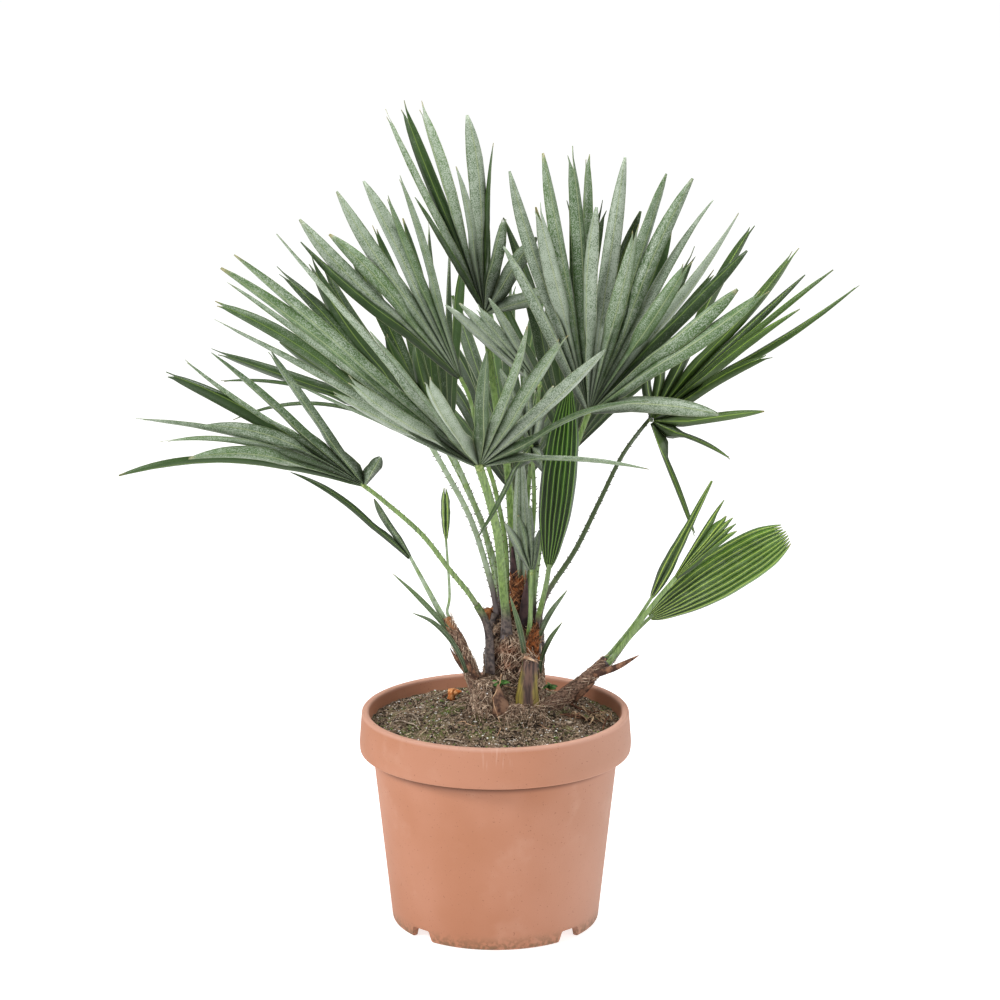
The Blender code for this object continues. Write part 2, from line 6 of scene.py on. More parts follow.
import bmesh
import bpy
from mathutils import Matrix, Vector, noise


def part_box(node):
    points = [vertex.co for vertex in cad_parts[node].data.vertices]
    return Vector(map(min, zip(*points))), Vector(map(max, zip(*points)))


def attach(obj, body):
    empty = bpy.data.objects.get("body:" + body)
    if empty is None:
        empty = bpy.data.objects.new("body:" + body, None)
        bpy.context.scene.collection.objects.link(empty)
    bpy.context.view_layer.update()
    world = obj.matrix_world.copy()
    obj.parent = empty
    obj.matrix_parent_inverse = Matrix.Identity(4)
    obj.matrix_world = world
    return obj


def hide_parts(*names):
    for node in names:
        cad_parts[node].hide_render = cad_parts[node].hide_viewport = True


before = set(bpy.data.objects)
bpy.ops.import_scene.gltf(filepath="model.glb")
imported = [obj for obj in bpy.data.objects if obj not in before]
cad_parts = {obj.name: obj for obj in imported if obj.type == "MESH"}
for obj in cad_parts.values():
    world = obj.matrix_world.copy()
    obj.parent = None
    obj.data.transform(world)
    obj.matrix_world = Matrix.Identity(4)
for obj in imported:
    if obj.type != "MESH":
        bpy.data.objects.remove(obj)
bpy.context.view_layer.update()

# ---------------------------------------------------------------- Pot
# A moulded container in matt terracotta-coloured plastic: one thin shell with a
# band under its rounded lip and a foot ring with four sloping drain notches.
# It is a little mottled, has lime stains on the band and dirt along the foot.
pot_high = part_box("pot")[1]
POT_HEIGHT = pot_high[2]
BAND_RADIUS = pot_high[0]
RIM_RADIUS = BAND_RADIUS - 0.003
BAND_BOTTOM = 0.1955
BODY_TOP_RADIUS = BAND_RADIUS - 0.0155
FOOT_RADIUS = 0.115
LIP = 0.0075
POT_FLOOR = 0.020
UNDERSIDE = 0.014
RING_INSIDE = FOOT_RADIUS - 0.008
STUD_RADIUS = 0.032
POT_SIDES = 160
NOTCH_HEIGHT = 0.0135
NOTCH_DEPTH = 0.030
NOTCH_WIDTHS = {"top": 0.024, "foot": 0.034}
DRAIN_RADIUS = 0.006
DRAIN_FROM_CENTRE = 0.082


def shade_of(red, green, blue):
    """A colour as a screen shows it, 0 to 255, turned into linear light."""
    def linear(part):
        part /= 255
        return part / 12.92 if part <= 0.04045 else ((part + 0.055) / 1.055) ** 2.4
    return (linear(red), linear(green), linear(blue), 1.0)


def put(tree, socket, value):
    """Sets a socket to a value, or links another node's output to it."""
    if isinstance(value, bpy.types.NodeSocket):
        tree.links.new(value, socket)
    else:
        socket.default_value = value


def calc(tree, operation, first, second=0.0):
    """One step of arithmetic on two sockets or values."""
    made = tree.nodes.new("ShaderNodeMath")
    made.operation = operation
    put(tree, made.inputs[0], first)
    put(tree, made.inputs[1], second)
    return made.outputs[0]


def times(tree, first, *others):
    """The product of several masks."""
    for other in others:
        first = calc(tree, "MULTIPLY", first, other)
    return first


def rise(tree, value, low, high):
    """A mask that goes from 0 to 1 as value goes from low to high."""
    made = tree.nodes.new("ShaderNodeMapRange")
    made.interpolation_type = "SMOOTHSTEP"
    for name, given in (("Value", value), ("From Min", low), ("From Max", high)):
        put(tree, made.inputs[name], given)
    return made.outputs[0]


def tint(tree, mask, under, over, kind="MIX"):
    """Lays one colour over another through a mask."""
    made = tree.nodes.new("ShaderNodeMix")
    made.data_type = "RGBA"
    made.blend_type = kind
    for index, given in ((0, mask), (6, under), (7, over)):
        put(tree, made.inputs[index], given)
    return made.outputs[2]


def split_axes(tree, vector):
    """The three parts of a vector, each as a socket."""
    made = tree.nodes.new("ShaderNodeSeparateXYZ")
    put(tree, made.inputs[0], vector)
    return made.outputs


def finish_of(name, roughness, specular=0.35):
    """A new material: the material, its node tree, its shader and object coordinates."""
    mat = bpy.data.materials.new(name)
    mat.use_nodes = True
    tree = mat.node_tree
    shader = tree.nodes["Principled BSDF"]
    shader.inputs["Roughness"].default_value = roughness
    shader.inputs["Specular IOR Level"].default_value = specular
    place = tree.nodes.new("ShaderNodeTexCoord").outputs["Object"]
    return mat, tree, shader, place


def paint(tree, shader, skin, height, strength, distance):
    """Gives a shader its finished colour, and the fine relief that goes with it."""
    put(tree, shader.inputs["Base Color"], skin)
    made = tree.nodes.new("ShaderNodeBump")
    made.inputs["Strength"].default_value = strength
    made.inputs["Distance"].default_value = distance
    put(tree, made.inputs["Height"], height)
    put(tree, shader.inputs["Normal"], made.outputs[0])


def stretched(tree, place, scale):
    """Coordinates scaled for each axis on its own, for streaks and grain."""
    made = tree.nodes.new("ShaderNodeMapping")
    made.inputs["Scale"].default_value = scale
    put(tree, made.inputs[0], place)
    return made.outputs[0]


mottle = bpy.data.node_groups.new("mottle", "ShaderNodeTree")
mottle.interface.new_socket("Vector", in_out="INPUT", socket_type="NodeSocketVector")
for name, start in (("Scale", 10.0), ("Detail", 2.0), ("Low", 0.4), ("High", 0.6)):
    socket = mottle.interface.new_socket(name, in_out="INPUT", socket_type="NodeSocketFloat")
    socket.default_value = start
mottle.interface.new_socket("Mask", in_out="OUTPUT", socket_type="NodeSocketFloat")
inlet = mottle.nodes.new("NodeGroupInput").outputs
cloud = mottle.nodes.new("ShaderNodeTexNoise")
for name in ("Vector", "Scale", "Detail"):
    put(mottle, cloud.inputs[name], inlet[name])
outlet = mottle.nodes.new("NodeGroupOutput").inputs
put(mottle, outlet[0], rise(mottle, cloud.outputs[0], inlet["Low"], inlet["High"]))


def mottled(tree, place, scale, low, high, detail=3.0):
    """A cloudy mask from the mottle group."""
    made = tree.nodes.new("ShaderNodeGroup")
    made.node_tree = mottle
    for name, given in (("Vector", place), ("Scale", scale), ("Detail", detail),
                        ("Low", low), ("High", high)):
        put(tree, made.inputs[name], given)
    return made.outputs[0]


terracotta, tree, shader, place = finish_of("matt_terracotta", 0.62)
x, y, z = split_axes(tree, place)
skin = tint(tree, mottled(tree, place, 9.0, 0.35, 0.68), shade_of(167, 111, 82), shade_of(175, 121, 95))
chalk = times(tree, mottled(tree, place, 26.0, 0.55, 0.78, 5.0), 0.4)
skin = tint(tree, chalk, skin, shade_of(186, 141, 118))
# Paler and greyer towards the right front of the pot.
paler_right_front = times(tree, rise(tree, x, 0.03, 0.14), rise(tree, y, 0.02, -0.04), 0.45)
skin = tint(tree, paler_right_front, skin, shade_of(176, 143, 128))
# Painted highlight: the top few millimetres of the lip are painted lighter.
lip_highlight = times(tree, rise(tree, z, POT_HEIGHT - 0.005, POT_HEIGHT - 0.001), 0.6)
skin = tint(tree, lip_highlight, skin, shade_of(196, 154, 136))
dark_specks = times(tree, mottled(tree, place, 420.0, 0.70, 0.76, 1.0), 0.6)
skin = tint(tree, dark_specks, skin, shade_of(128, 82, 62))
# Painted shadow: the body just under the band's overhang is painted dark brown, fading downwards.
band_shadow_fade = times(tree, rise(tree, z, BAND_BOTTOM - 0.014, BAND_BOTTOM - 0.0035),
                   rise(tree, z, BAND_BOTTOM - 0.012, BAND_BOTTOM - 0.0035))
painted_band_shadow = times(tree, band_shadow_fade, rise(tree, z, BAND_BOTTOM + 0.0006, BAND_BOTTOM + 0.0001), 0.85)
skin = tint(tree, painted_band_shadow, skin, shade_of(92, 56, 40))
foot_dirt = times(tree, rise(tree, z, 0.020, 0.0), mottled(tree, place, 210.0, 0.36, 0.60, 6.0), 0.80)
skin = tint(tree, foot_dirt, skin, shade_of(108, 84, 58))
on_band = times(tree, rise(tree, y, -0.135, -0.147), rise(tree, z, 0.214, 0.238))
in_front = times(tree, rise(tree, x, -0.017, -0.010), rise(tree, x, 0.026, 0.010))
streaks = mottled(tree, stretched(tree, place, (260.0, 40.0, 26.0)), 1.0, 0.50, 0.74)
skin = tint(tree, times(tree, on_band, in_front, streaks, 0.62), skin, shade_of(214, 188, 176))
paint(tree, shader, skin, mottled(tree, place, 900.0, 0.3, 0.7, 2.0), 0.10, 0.0004)


def made_piece(name, bm, mats, slot, crease=40):
    """Turns a bmesh into a finished piece at the origin that rides on the frame."""
    mesh = bpy.data.meshes.new(name)
    bm.to_mesh(mesh)
    bm.free()
    for mat in mats:
        mesh.materials.append(mat)
    mesh.shade_smooth()
    mesh.set_sharp_from_angle(angle=math.radians(crease))
    piece = bpy.data.objects.new(name, mesh)
    bpy.context.scene.collection.objects.link(piece)
    if slot:
        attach(piece, "root")
    return piece


def rounded(corner, before, after, radius, steps=5):
    """The points of a round laid into a profile's corner."""
    start = corner + (before - corner).normalized() * radius
    end = corner + (after - corner).normalized() * radius
    shares = [k / steps for k in range(steps + 1)]
    return [start.lerp(corner, t).lerp(corner.lerp(end, t), t) for t in shares]


def turned(profile, steps):
    """A solid of revolution about Z from (radius, z, round) corners."""
    points = []
    for k, (r, z, bend) in enumerate(profile):
        here = Vector((r, 0, z))
        if bend:
            behind, ahead = (Vector((profile[j][0], 0, profile[j][1])) for j in (k - 1, k + 1))
            points += rounded(here, behind, ahead, bend)
        else:
            points.append(here)
    bm = bmesh.new()
    verts = [bm.verts.new(p) for p in points]
    edges = [bm.edges.new(pair) for pair in zip(verts, verts[1:])]
    bmesh.ops.spin(bm, geom=verts + edges, cent=(0, 0, 0), axis=(0, 0, 1), angle=math.tau, steps=steps,
                   use_merge=True)
    bmesh.ops.remove_doubles(bm, verts=bm.verts, dist=0.00002)
    bmesh.ops.recalc_face_normals(bm, faces=bm.faces)
    return bm


inside = [(0.0, POT_FLOOR, 0), (FOOT_RADIUS - 0.005, POT_FLOOR, 0.003), (RIM_RADIUS - LIP, POT_HEIGHT, 0.003)]
band = [(RIM_RADIUS, POT_HEIGHT, 0.003), (BAND_RADIUS, BAND_BOTTOM + 0.008, 0.006),
        (BAND_RADIUS - 0.0012, BAND_BOTTOM, 0.0028)]
corner = [(BODY_TOP_RADIUS - 0.0008, BAND_BOTTOM + 0.0008, 0.0004),
          (BODY_TOP_RADIUS - 0.0008, BAND_BOTTOM - 0.0018, 0.0008),
          (BODY_TOP_RADIUS + 0.0002, BAND_BOTTOM - 0.004, 0.001)]
foot = [(FOOT_RADIUS, 0.0, 0.0045), (RING_INSIDE, 0.0, 0.001), (RING_INSIDE, UNDERSIDE, 0.002),
        (STUD_RADIUS + 0.006, UNDERSIDE, 0.002), (STUD_RADIUS, 0.0, 0.001), (0.0, 0.0, 0)]
pot = made_piece("palm_pot", turned(inside + band + corner + foot, POT_SIDES), [terracotta], "terracotta")
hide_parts("pot")

bm = bmesh.new()
for quarter in (45, 135, 225, 315):
    swing = Matrix.Rotation(math.radians(quarter), 3, "Z")
    block = bmesh.ops.create_cube(bm, size=1.0)["verts"]
    for vert in block:
        top = vert.co.z > 0
        vert.co = Vector((vert.co.x * NOTCH_DEPTH + FOOT_RADIUS - 0.002,
                          vert.co.y * NOTCH_WIDTHS["top" if top else "foot"],
                          NOTCH_HEIGHT if top else -0.004))
    drain = bmesh.ops.create_cone(bm, cap_ends=True, segments=24, radius1=DRAIN_RADIUS, radius2=DRAIN_RADIUS,
                                  depth=0.02)["verts"]
    bmesh.ops.translate(bm, verts=drain, vec=(DRAIN_FROM_CENTRE, 0, (POT_FLOOR + UNDERSIDE) / 2))
    bmesh.ops.rotate(bm, verts=block + drain, cent=(0, 0, 0), matrix=swing)
    along = swing @ Vector((1, 0, 0))
    shoulders = [e for e in bm.edges if all(v in block and v.co.z > 0.01 for v in e.verts)
                 and abs((e.verts[0].co - e.verts[1].co).normalized().dot(along)) > 0.9]
    bmesh.ops.bevel(bm, geom=shoulders, affect="EDGES", offset=0.0018, segments=3, profile=0.5, material=-1)
cutter = made_piece("notch_cutter", bm, [terracotta], None)
cut = pot.modifiers.new("notches", "BOOLEAN")
cut.operation = "DIFFERENCE"
cut.solver = "MANIFOLD"
cut.object = cutter
carved = bpy.data.meshes.new_from_object(pot.evaluated_get(bpy.context.evaluated_depsgraph_get()))
pot.modifiers.clear()
pot.data = carved
pot.data.set_sharp_from_angle(angle=math.radians(40))
bpy.data.objects.remove(cutter)

# ---------------------------------------------------------------- Soil
# Potting mix pressed round the root ball: dark crumbs, white perlite grains and
# patches of moss. Dry root fibres, twigs, bark chips and a fallen leaf bit lie on it.
soil_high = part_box("soil")[1]
SOIL_RADIUS = soil_high[0]
SOIL_TOP = soil_high[2]
SOIL_EDGE = 0.227
SOIL_BOTTOM = 0.200
SOIL_SIDES = 300
SOIL_RINGS = 96
CROWN_RADIUS = 0.068


def soil_level(x, y):
    """Height of the soil at a place: a crown at the trunk that slopes to the wall."""
    share = (math.hypot(x, y) - CROWN_RADIUS + 0.006) / (SOIL_RADIUS - CROWN_RADIUS - 0.010)
    share = min(max(share, 0), 1)
    level = SOIL_TOP - (SOIL_TOP - SOIL_EDGE) * (share * share * (3 - 2 * share)) ** 0.85
    clods = noise.fractal(Vector((x * 55, y * 55, 3.1)), 0.9, 2.1, 5) * 0.0022
    grit = noise.fractal(Vector((x * 260, y * 260, 7.7)), 1.0, 2.0, 3) * 0.0007
    return level + clods + grit - 0.0010


earth, tree, shader, place = finish_of("potting_soil", 0.95, 0.15)
clods = mottled(tree, place, 95.0, 0.36, 0.64, 8.0)
skin = tint(tree, clods, shade_of(44, 35, 27), shade_of(110, 93, 75))
skin = tint(tree, mottled(tree, place, 620.0, 0.54, 0.66, 4.0), skin, shade_of(190, 172, 152))
moss = times(tree, mottled(tree, place, 24.0, 0.46, 0.60, 4.0), mottled(tree, place, 330.0, 0.40, 0.56), 0.80)
skin = tint(tree, moss, skin, shade_of(74, 82, 38))
paint(tree, shader, skin, clods, 0.5, 0.002)

bm = turned([(SOIL_RADIUS * k / SOIL_RINGS, SOIL_TOP, 0) for k in range(SOIL_RINGS + 1)]
            + [(SOIL_RADIUS - 0.001, SOIL_BOTTOM, 0), (0, SOIL_BOTTOM, 0)], SOIL_SIDES)
for vert in bm.verts:
    if vert.co.z > SOIL_BOTTOM + 0.01:
        vert.co.z = soil_level(vert.co.x, vert.co.y)
soil = made_piece("palm_soil", bm, [earth], "soil", 60)
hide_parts("soil")

luck = random.Random(7)


def open_soil(nearest, farthest):
    """A random place on the soil."""
    turn = luck.uniform(0, math.tau)
    r = math.sqrt(luck.uniform(nearest ** 2, farthest ** 2))
    x, y = r * math.cos(turn), r * math.sin(turn)
    return Vector((x, y, soil_level(x, y)))


def grains(name, mat, count, small, large, flat=0.7, place=None):
    """Loose rough grains, half pressed into the soil."""
    bm = bmesh.new()
    for _ in range(count):
        spot = place() if place else open_soil(0.02, SOIL_RADIUS - 0.004)
        size = luck.uniform(small, large) * luck.uniform(0.6, 1.0)
        length, width = size * luck.uniform(0.7, 1.3), size * luck.uniform(0.7, 1.3)
        laid = Matrix.Translation(spot) @ Matrix.Rotation(luck.uniform(0, math.tau), 4, "Z")
        laid = laid @ Matrix.Rotation(luck.uniform(-0.5, 0.5), 4, "X")
        laid = laid @ Matrix.Diagonal((length, width, size * flat, 1))
        made = bmesh.ops.create_icosphere(bm, subdivisions=1, radius=1.0, matrix=laid)
        for vert in made["verts"]:
            vert.co += (vert.co - spot) * luck.uniform(-0.25, 0.25)
    return made_piece(name, bm, [mat], "soil", 50)


def speckled(name, first, second, scale, roughness=0.9, low=0.38, high=0.62):
    """A rough material that wanders between two colours."""
    mat, tree, shader, place = finish_of(name, roughness, 0.2)
    cloud = mottled(tree, place, scale, low, high)
    paint(tree, shader, tint(tree, cloud, shade_of(*first), shade_of(*second)), cloud, 0.3, 0.0006)
    return mat


crumb = speckled("soil_crumb", (38, 30, 23), (138, 118, 98), 300.0)
perlite = speckled("perlite", (214, 210, 202), (240, 238, 234), 500.0)
moss_green = speckled("moss", (62, 78, 34), (118, 134, 74), 300.0)
grains("soil_crumbs", crumb, count=2400, small=0.0012, large=0.0030)
grains("perlite_grains", perlite, count=760, small=0.0005, large=0.0015)
grains("moss_tufts", moss_green, count=420, small=0.0010, large=0.0026, flat=0.45)


def strands(name, mats, routes, thickness, slot, taper=0.5):
    """Thin round threads, thick at their start; each takes one of the materials."""
    curve = bpy.data.curves.new(name, "CURVE")
    curve.dimensions = "3D"
    curve.bevel_depth = 1.0
    curve.bevel_resolution = 0
    curve.use_fill_caps = True
    for mat in mats:
        curve.materials.append(mat)
    for route in routes:
        spline = curve.splines.new("POLY")
        spline.points.add(len(route) - 1)
        spline.material_index = int(len(mats) * luck.random() ** 1.5)
        stoutness = thickness * luck.uniform(0.6, 1.3)
        for k, (point, spot) in enumerate(zip(spline.points, route)):
            point.co = (*spot, 1.0)
            point.radius = stoutness * (1 - (1 - taper) * k / (len(route) - 1))
    drawn = bpy.data.objects.new(name + "_lines", curve)
    bpy.context.scene.collection.objects.link(drawn)
    mesh = bpy.data.meshes.new_from_object(drawn.evaluated_get(bpy.context.evaluated_depsgraph_get()))
    bpy.data.objects.remove(drawn)
    bm = bmesh.new()
    bm.from_mesh(mesh)
    bpy.data.meshes.remove(mesh)
    bmesh.ops.remove_doubles(bm, verts=bm.verts, dist=0.000001)
    bmesh.ops.recalc_face_normals(bm, faces=bm.faces)
    return made_piece(name, bm, mats, slot, 70)


def wandering(start, heading, length, bend, steps=5):
    """A crooked line of points that sets off along heading."""
    points = [Vector(start)]
    heading = Vector(heading).normalized()
    for _ in range(steps):
        heading = (heading + Vector([luck.uniform(-1, 1) for _ in range(3)]) * bend).normalized()
        points.append(points[-1] + heading * length / steps)
    return points


def scattered(count, clear, margin, shortest, longest, bend, steps):
    """Crooked threads that lie about on the open soil, a hair above it."""
    routes = []
    for _ in range(count):
        turn = luck.uniform(0, math.tau)
        start = open_soil(clear, SOIL_RADIUS - margin)
        start.z = 0
        heading = (math.cos(turn), math.sin(turn), 0)
        line = wandering(start, heading, luck.uniform(shortest, longest), bend, steps)
        routes.append([Vector((p.x, p.y, max(p.z, soil_level(p.x, p.y)) + luck.uniform(0.0004, 0.0016)))
                       for p in line])
    return routes


dry_fibre = speckled("dry_fibre", (100, 78, 62), (176, 152, 128), 130.0)
straw = speckled("straw", (150, 130, 100), (196, 180, 150), 200.0)
straw_dark = speckled("straw_dark", (58, 44, 34), (104, 82, 64), 200.0)
grey_twig = speckled("grey_twig", (104, 90, 76), (160, 146, 130), 160.0)
red_twig = speckled("red_twig", (78, 52, 40), (128, 92, 70), 160.0)
fallen = scattered(260, clear=0.045, margin=0.014, shortest=0.006, longest=0.020, bend=0.35, steps=5)
strands("fallen_fibres", [dry_fibre, straw_dark], fallen, 0.00035, "soil")
fallen = scattered(60, clear=0.05, margin=0.010, shortest=0.003, longest=0.009, bend=0.2, steps=3)
strands("straw_bits", [straw], fallen, 0.0005, "soil", 0.9)


def lying(start, end, lift=0.0, bend=0.08, steps=8):
    """A line of points over the soil from one place to another, humped by lift."""
    points = []
    for k in range(steps + 1):
        t = k / steps
        x = start[0] + (end[0] - start[0]) * t + luck.uniform(-1, 1) * bend * 0.01
        y = start[1] + (end[1] - start[1]) * t + luck.uniform(-1, 1) * bend * 0.01
        points.append(Vector((x, y, soil_level(x, y) + 0.0012 + lift * 4 * t * (1 - t))))
    return points


strands("grey_twigs", [grey_twig], [
    lying((-0.113, -0.010), (-0.084, -0.052), 0.004), lying((-0.106, -0.030), (-0.078, -0.024), 0.003),
    lying((-0.098, -0.004), (-0.082, -0.044), 0.006), lying((-0.055, -0.085), (-0.030, -0.098), 0.001),
    lying((0.092, -0.062), (0.105, -0.020), 0.002), lying((0.030, 0.085), (0.075, 0.070), 0.004),
    lying((-0.070, 0.060), (-0.035, 0.088), 0.004), lying((0.010, 0.098), (-0.020, 0.112), 0.002)],
    0.0011, "soil", 0.6)
strands("red_twigs", [red_twig], [
    lying((0.070, -0.030), (0.122, -0.004), 0.001), lying((0.076, -0.024), (0.104, -0.012), 0.003),
    lying((0.118, -0.030), (0.128, 0.014), 0.004), lying((-0.060, 0.030), (-0.042, 0.045), 0.002),
    lying((0.060, 0.018), (0.117, 0.012), 0.003)], 0.0014, "soil", 0.55)
curls = []
for k in range(16):
    at = Vector((0.104 + 0.020 * math.cos(k * 1.7), 0.026 * math.sin(k * 2.3), 0))
    radius = luck.uniform(0.004, 0.010)
    begin, sweep = luck.uniform(0, math.tau), luck.uniform(2.4, 4.6)
    curl = []
    for step in range(10):
        turn = begin + sweep * step / 9
        height = soil_level(at.x, at.y) + 0.001 + 0.008 * math.sin(math.pi * step / 9)
        curl.append(at + Vector((radius * math.cos(turn), radius * math.sin(turn) * 0.7, height)))
    curls.append(curl)
dry_root = speckled("dry_root", (132, 108, 84), (184, 158, 126), 200.0)
strands("dry_tendrils", [dry_root, red_twig], curls, 0.0007, "soil", 0.7)


def chip(bm, spot, size, turn, tilt=0.0):
    """A flat splinter of bark with bevelled edges."""
    made = bmesh.ops.create_cube(bm, size=1.0)["verts"]
    for vert in made:
        narrowed = 1.0 if vert.co.y > 0 else 0.75
        vert.co = Vector((vert.co.x * size[0] * narrowed, vert.co.y * size[1], vert.co.z * size[2]))
        vert.co += Vector([luck.uniform(-1, 1) * size[1] * 0.10 for _ in range(3)])
    edges = [e for e in bm.edges if e.verts[0] in made and e.verts[1] in made]
    bev = bmesh.ops.bevel(bm, geom=edges, affect="EDGES", offset=size[2] * 0.3, segments=1, profile=0.5,
                          material=-1)
    verts = list(dict.fromkeys(v for f in bev["faces"] for v in f.verts))
    x, y = spot
    laid = Matrix.Translation((x, y, soil_level(x, y) + size[2] * 0.4))
    laid = laid @ Matrix.Rotation(turn, 4, "Z") @ Matrix.Rotation(tilt, 4, "X")
    bmesh.ops.transform(bm, matrix=laid, verts=verts)


bm = bmesh.new()
for spot, size, turn, tilt in (
        ((0.078, -0.040), (0.013, 0.005, 0.0018), -0.5, 0.2),
        ((0.068, -0.048), (0.009, 0.004, 0.0016), 0.4, 0.1),
        ((0.050, 0.080), (0.012, 0.005, 0.002), 1.1, 0.2),
        ((-0.080, 0.020), (0.010, 0.004, 0.0016), 2.0, 0.1),
        ((-0.020, -0.092), (0.008, 0.004, 0.0015), 0.2, 0.1),
        ((-0.030, 0.100), (0.012, 0.004, 0.002), 0.7, 0.1)):
    chip(bm, spot, size, turn, tilt)
for _ in range(90):
    spot = open_soil(0.045, SOIL_RADIUS - 0.008)
    size = (luck.uniform(0.002, 0.006), luck.uniform(0.0015, 0.003), 0.0009)
    chip(bm, spot.xy, size, luck.uniform(0, 6), luck.uniform(-0.4, 0.4))
made_piece("bark_chips", bm, [grey_twig], "soil", 30)

# ---------------------------------------------------------------- Trunk
# A short stem hidden in the matted brown fibre of its old leaf sheaths. The mat
# is thousands of crossing threads, rusty in front, and it spreads over the roots.
TRUNK_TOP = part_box("trunk")[1][2]
TRUNK_X = 0.0205
TRUNK_RADIUS = 0.034
TRUNK_FOOT = 0.238
DOME = 0.0290
FIBRE = 0.00036
MAT_X, MAT_Y = 0.014, -0.016
NUDGE = 0.0005

bark, tree, shader, place = finish_of("matted_sheath", 0.95, 0.15)
lay = mottled(tree, place, 150.0, 0.38, 0.60, 5.0)
skin = tint(tree, lay, shade_of(40, 29, 23), shade_of(96, 74, 60))
paint(tree, shader, skin, lay, 0.8, 0.002)


def fibre_tone(name, first, second):
    """Sheath fibre that wanders between two browns and is rusty low on the front."""
    mat, tree, shader, place = finish_of(name, 0.85, 0.2)
    x, y, z = split_axes(tree, place)
    skin = tint(tree, mottled(tree, place, 230.0, 0.36, 0.62, 2.0), shade_of(*first), shade_of(*second))
    low_front = times(tree, rise(tree, y, -0.010, -0.030), rise(tree, z, 0.334, 0.312),
                      rise(tree, z, 0.292, 0.300), rise(tree, x, -0.004, 0.004), rise(tree, x, 0.033, 0.028))
    rust = times(tree, low_front, mottled(tree, place, 60.0, 0.36, 0.60), 0.85)
    rusted = tint(tree, 0.55, skin, shade_of(150, 78, 42))
    put(tree, shader.inputs["Base Color"], tint(tree, rust, skin, rusted))
    return mat


fibres = [fibre_tone("fibre_pale", (158, 136, 116), (214, 192, 168)),
          fibre_tone("fibre_mid", (122, 98, 80), (170, 144, 122)),
          fibre_tone("fibre_dark", (62, 46, 38), (108, 86, 70))]


def girth(height):
    """Radius of the matted trunk at a height: a flare at its foot, a shaggy dome on top."""
    dome = max(0.0, height - TRUNK_TOP + 0.028) / 0.058
    return (TRUNK_RADIUS - 0.0015) * math.sqrt(max(0.0, 1 - dome ** 2)) + max(0.0, 0.262 - height) * 0.35


steps_up = [TRUNK_FOOT + 0.0025 * k for k in range(32)] + [TRUNK_TOP + 0.0020 * k for k in range(1, 14)]
flank = [(girth(h) - 0.0012, h, 0) for h in reversed(steps_up)]
bm = turned([(0.0, TRUNK_TOP + DOME, 0)] + flank + [(0.0, TRUNK_FOOT, 0)], 72)
for vert in bm.verts:
    matting = noise.fractal(vert.co * 90, 1.0, 2.0, 4) * 0.0026
    lumps = noise.fractal(vert.co * 30 + Vector((5, 5, 5)), 1.0, 2.0, 2) * 0.0022
    outward = Vector((vert.co.x, vert.co.y, 0))
    if outward.length > 0.01:
        vert.co += outward.normalized() * (matting + lumps)
    vert.co.x += TRUNK_X
trunk = made_piece("palm_trunk", bm, [bark], "trunk_fibre", 60)
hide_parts("trunk")


def wrapped(angle, height, lean, length, stand, steps=6):
    """A fibre that follows the round of the trunk."""
    points = []
    for k in range(steps + 1):
        t = k / steps
        level = height + math.sin(lean) * length * t
        turn = angle + math.cos(lean) * length * t / max(girth(level), 0.012)
        wave = 0.001 * math.sin(turn * 7 + height * 300)
        r = girth(level) + stand + luck.uniform(-0.0005, 0.0010) + wave
        points.append(Vector((TRUNK_X + r * math.cos(turn), r * math.sin(turn), level)))
    return points


mat_lines = []
for _ in range(2300):
    height = luck.uniform(0.247, TRUNK_TOP + 0.026)
    lean = luck.choice((-1, 1)) * math.radians(luck.gauss(48, 22))
    length = luck.uniform(0.006, 0.024)
    if 0.246 < height + math.sin(lean) * length < TRUNK_TOP + 0.027:
        angle = luck.uniform(0, math.tau)
        mat_lines.append(wrapped(angle, height, lean, length, luck.uniform(-0.0012, 0.0012)))
strands("trunk_fibre_wrap", fibres, mat_lines, 0.00046, "trunk_fibre", 0.6)

crown = []
for _ in range(420):
    turn = luck.uniform(0, math.tau)
    height = TRUNK_TOP + luck.uniform(-0.006, 0.026)
    r = girth(height) - 0.001
    start = Vector((TRUNK_X + r * math.cos(turn), r * math.sin(turn), height))
    heading = Vector((math.cos(turn) * luck.uniform(-0.2, 0.9), math.sin(turn) * luck.uniform(-0.2, 0.9),
                      luck.uniform(-0.2, 1)))
    crown.append(wandering(start, heading, luck.uniform(0.004, 0.013), 0.45))
strands("crown_fibre", fibres, crown, 0.00038, "trunk_fibre")


def heaped(x, y, height, steepness, middle, reach):
    """Height of one flat-topped heap of roots at a place."""
    away = math.hypot((x - middle[0]) / reach[0], (y - middle[1]) / reach[1])
    share = min(1.0, steepness * max(0.0, 1 - away))
    return height * share * share * (3 - 2 * share)


def mound(x, y):
    """Height of the root mat: heaped round the trunk's foot, steep at the left shoot."""
    reach = math.hypot((x - 0.012) / 1.25, y + 0.012)
    at_left_shoot = heaped(x, y, 0.040, 1.9, (-0.0075, -0.037), (0.0265, 0.029))
    in_front = heaped(x, y, 0.028, 2.2, (0.012, -0.036), (0.024, 0.020))
    apron = heaped(x, y, 0.0160, 1.9, (0.020, -0.045), (0.046, 0.031))
    skirt = 0.012 * max(0.0, 1 - reach / 0.062) ** 0.8
    return soil_level(x, y) + max(skirt, at_left_shoot, in_front, apron)


def creeping(x, y, spin, length, lift, steps=5):
    """A fibre's route over the root mat, in even steps whatever the slope."""
    line = []
    for step in range(steps + 1):
        arch = lift * math.sin(math.pi * step / steps)
        line.append(Vector((x, y, mound(x, y) + arch + luck.uniform(-0.0002, 0.0007))))
        east = (mound(x + NUDGE, y) - mound(x - NUDGE, y)) / (2 * NUDGE)
        north = (mound(x, y + NUDGE) - mound(x, y - NUDGE)) / (2 * NUDGE)
        level = Vector((1, 0, east)).normalized()
        way = level * math.cos(spin) + Vector((-east, -north, 1)).normalized().cross(level) * math.sin(spin)
        x += way.x * length / steps
        y += way.y * length / steps
        spin += luck.uniform(-0.3, 0.3)
    return line


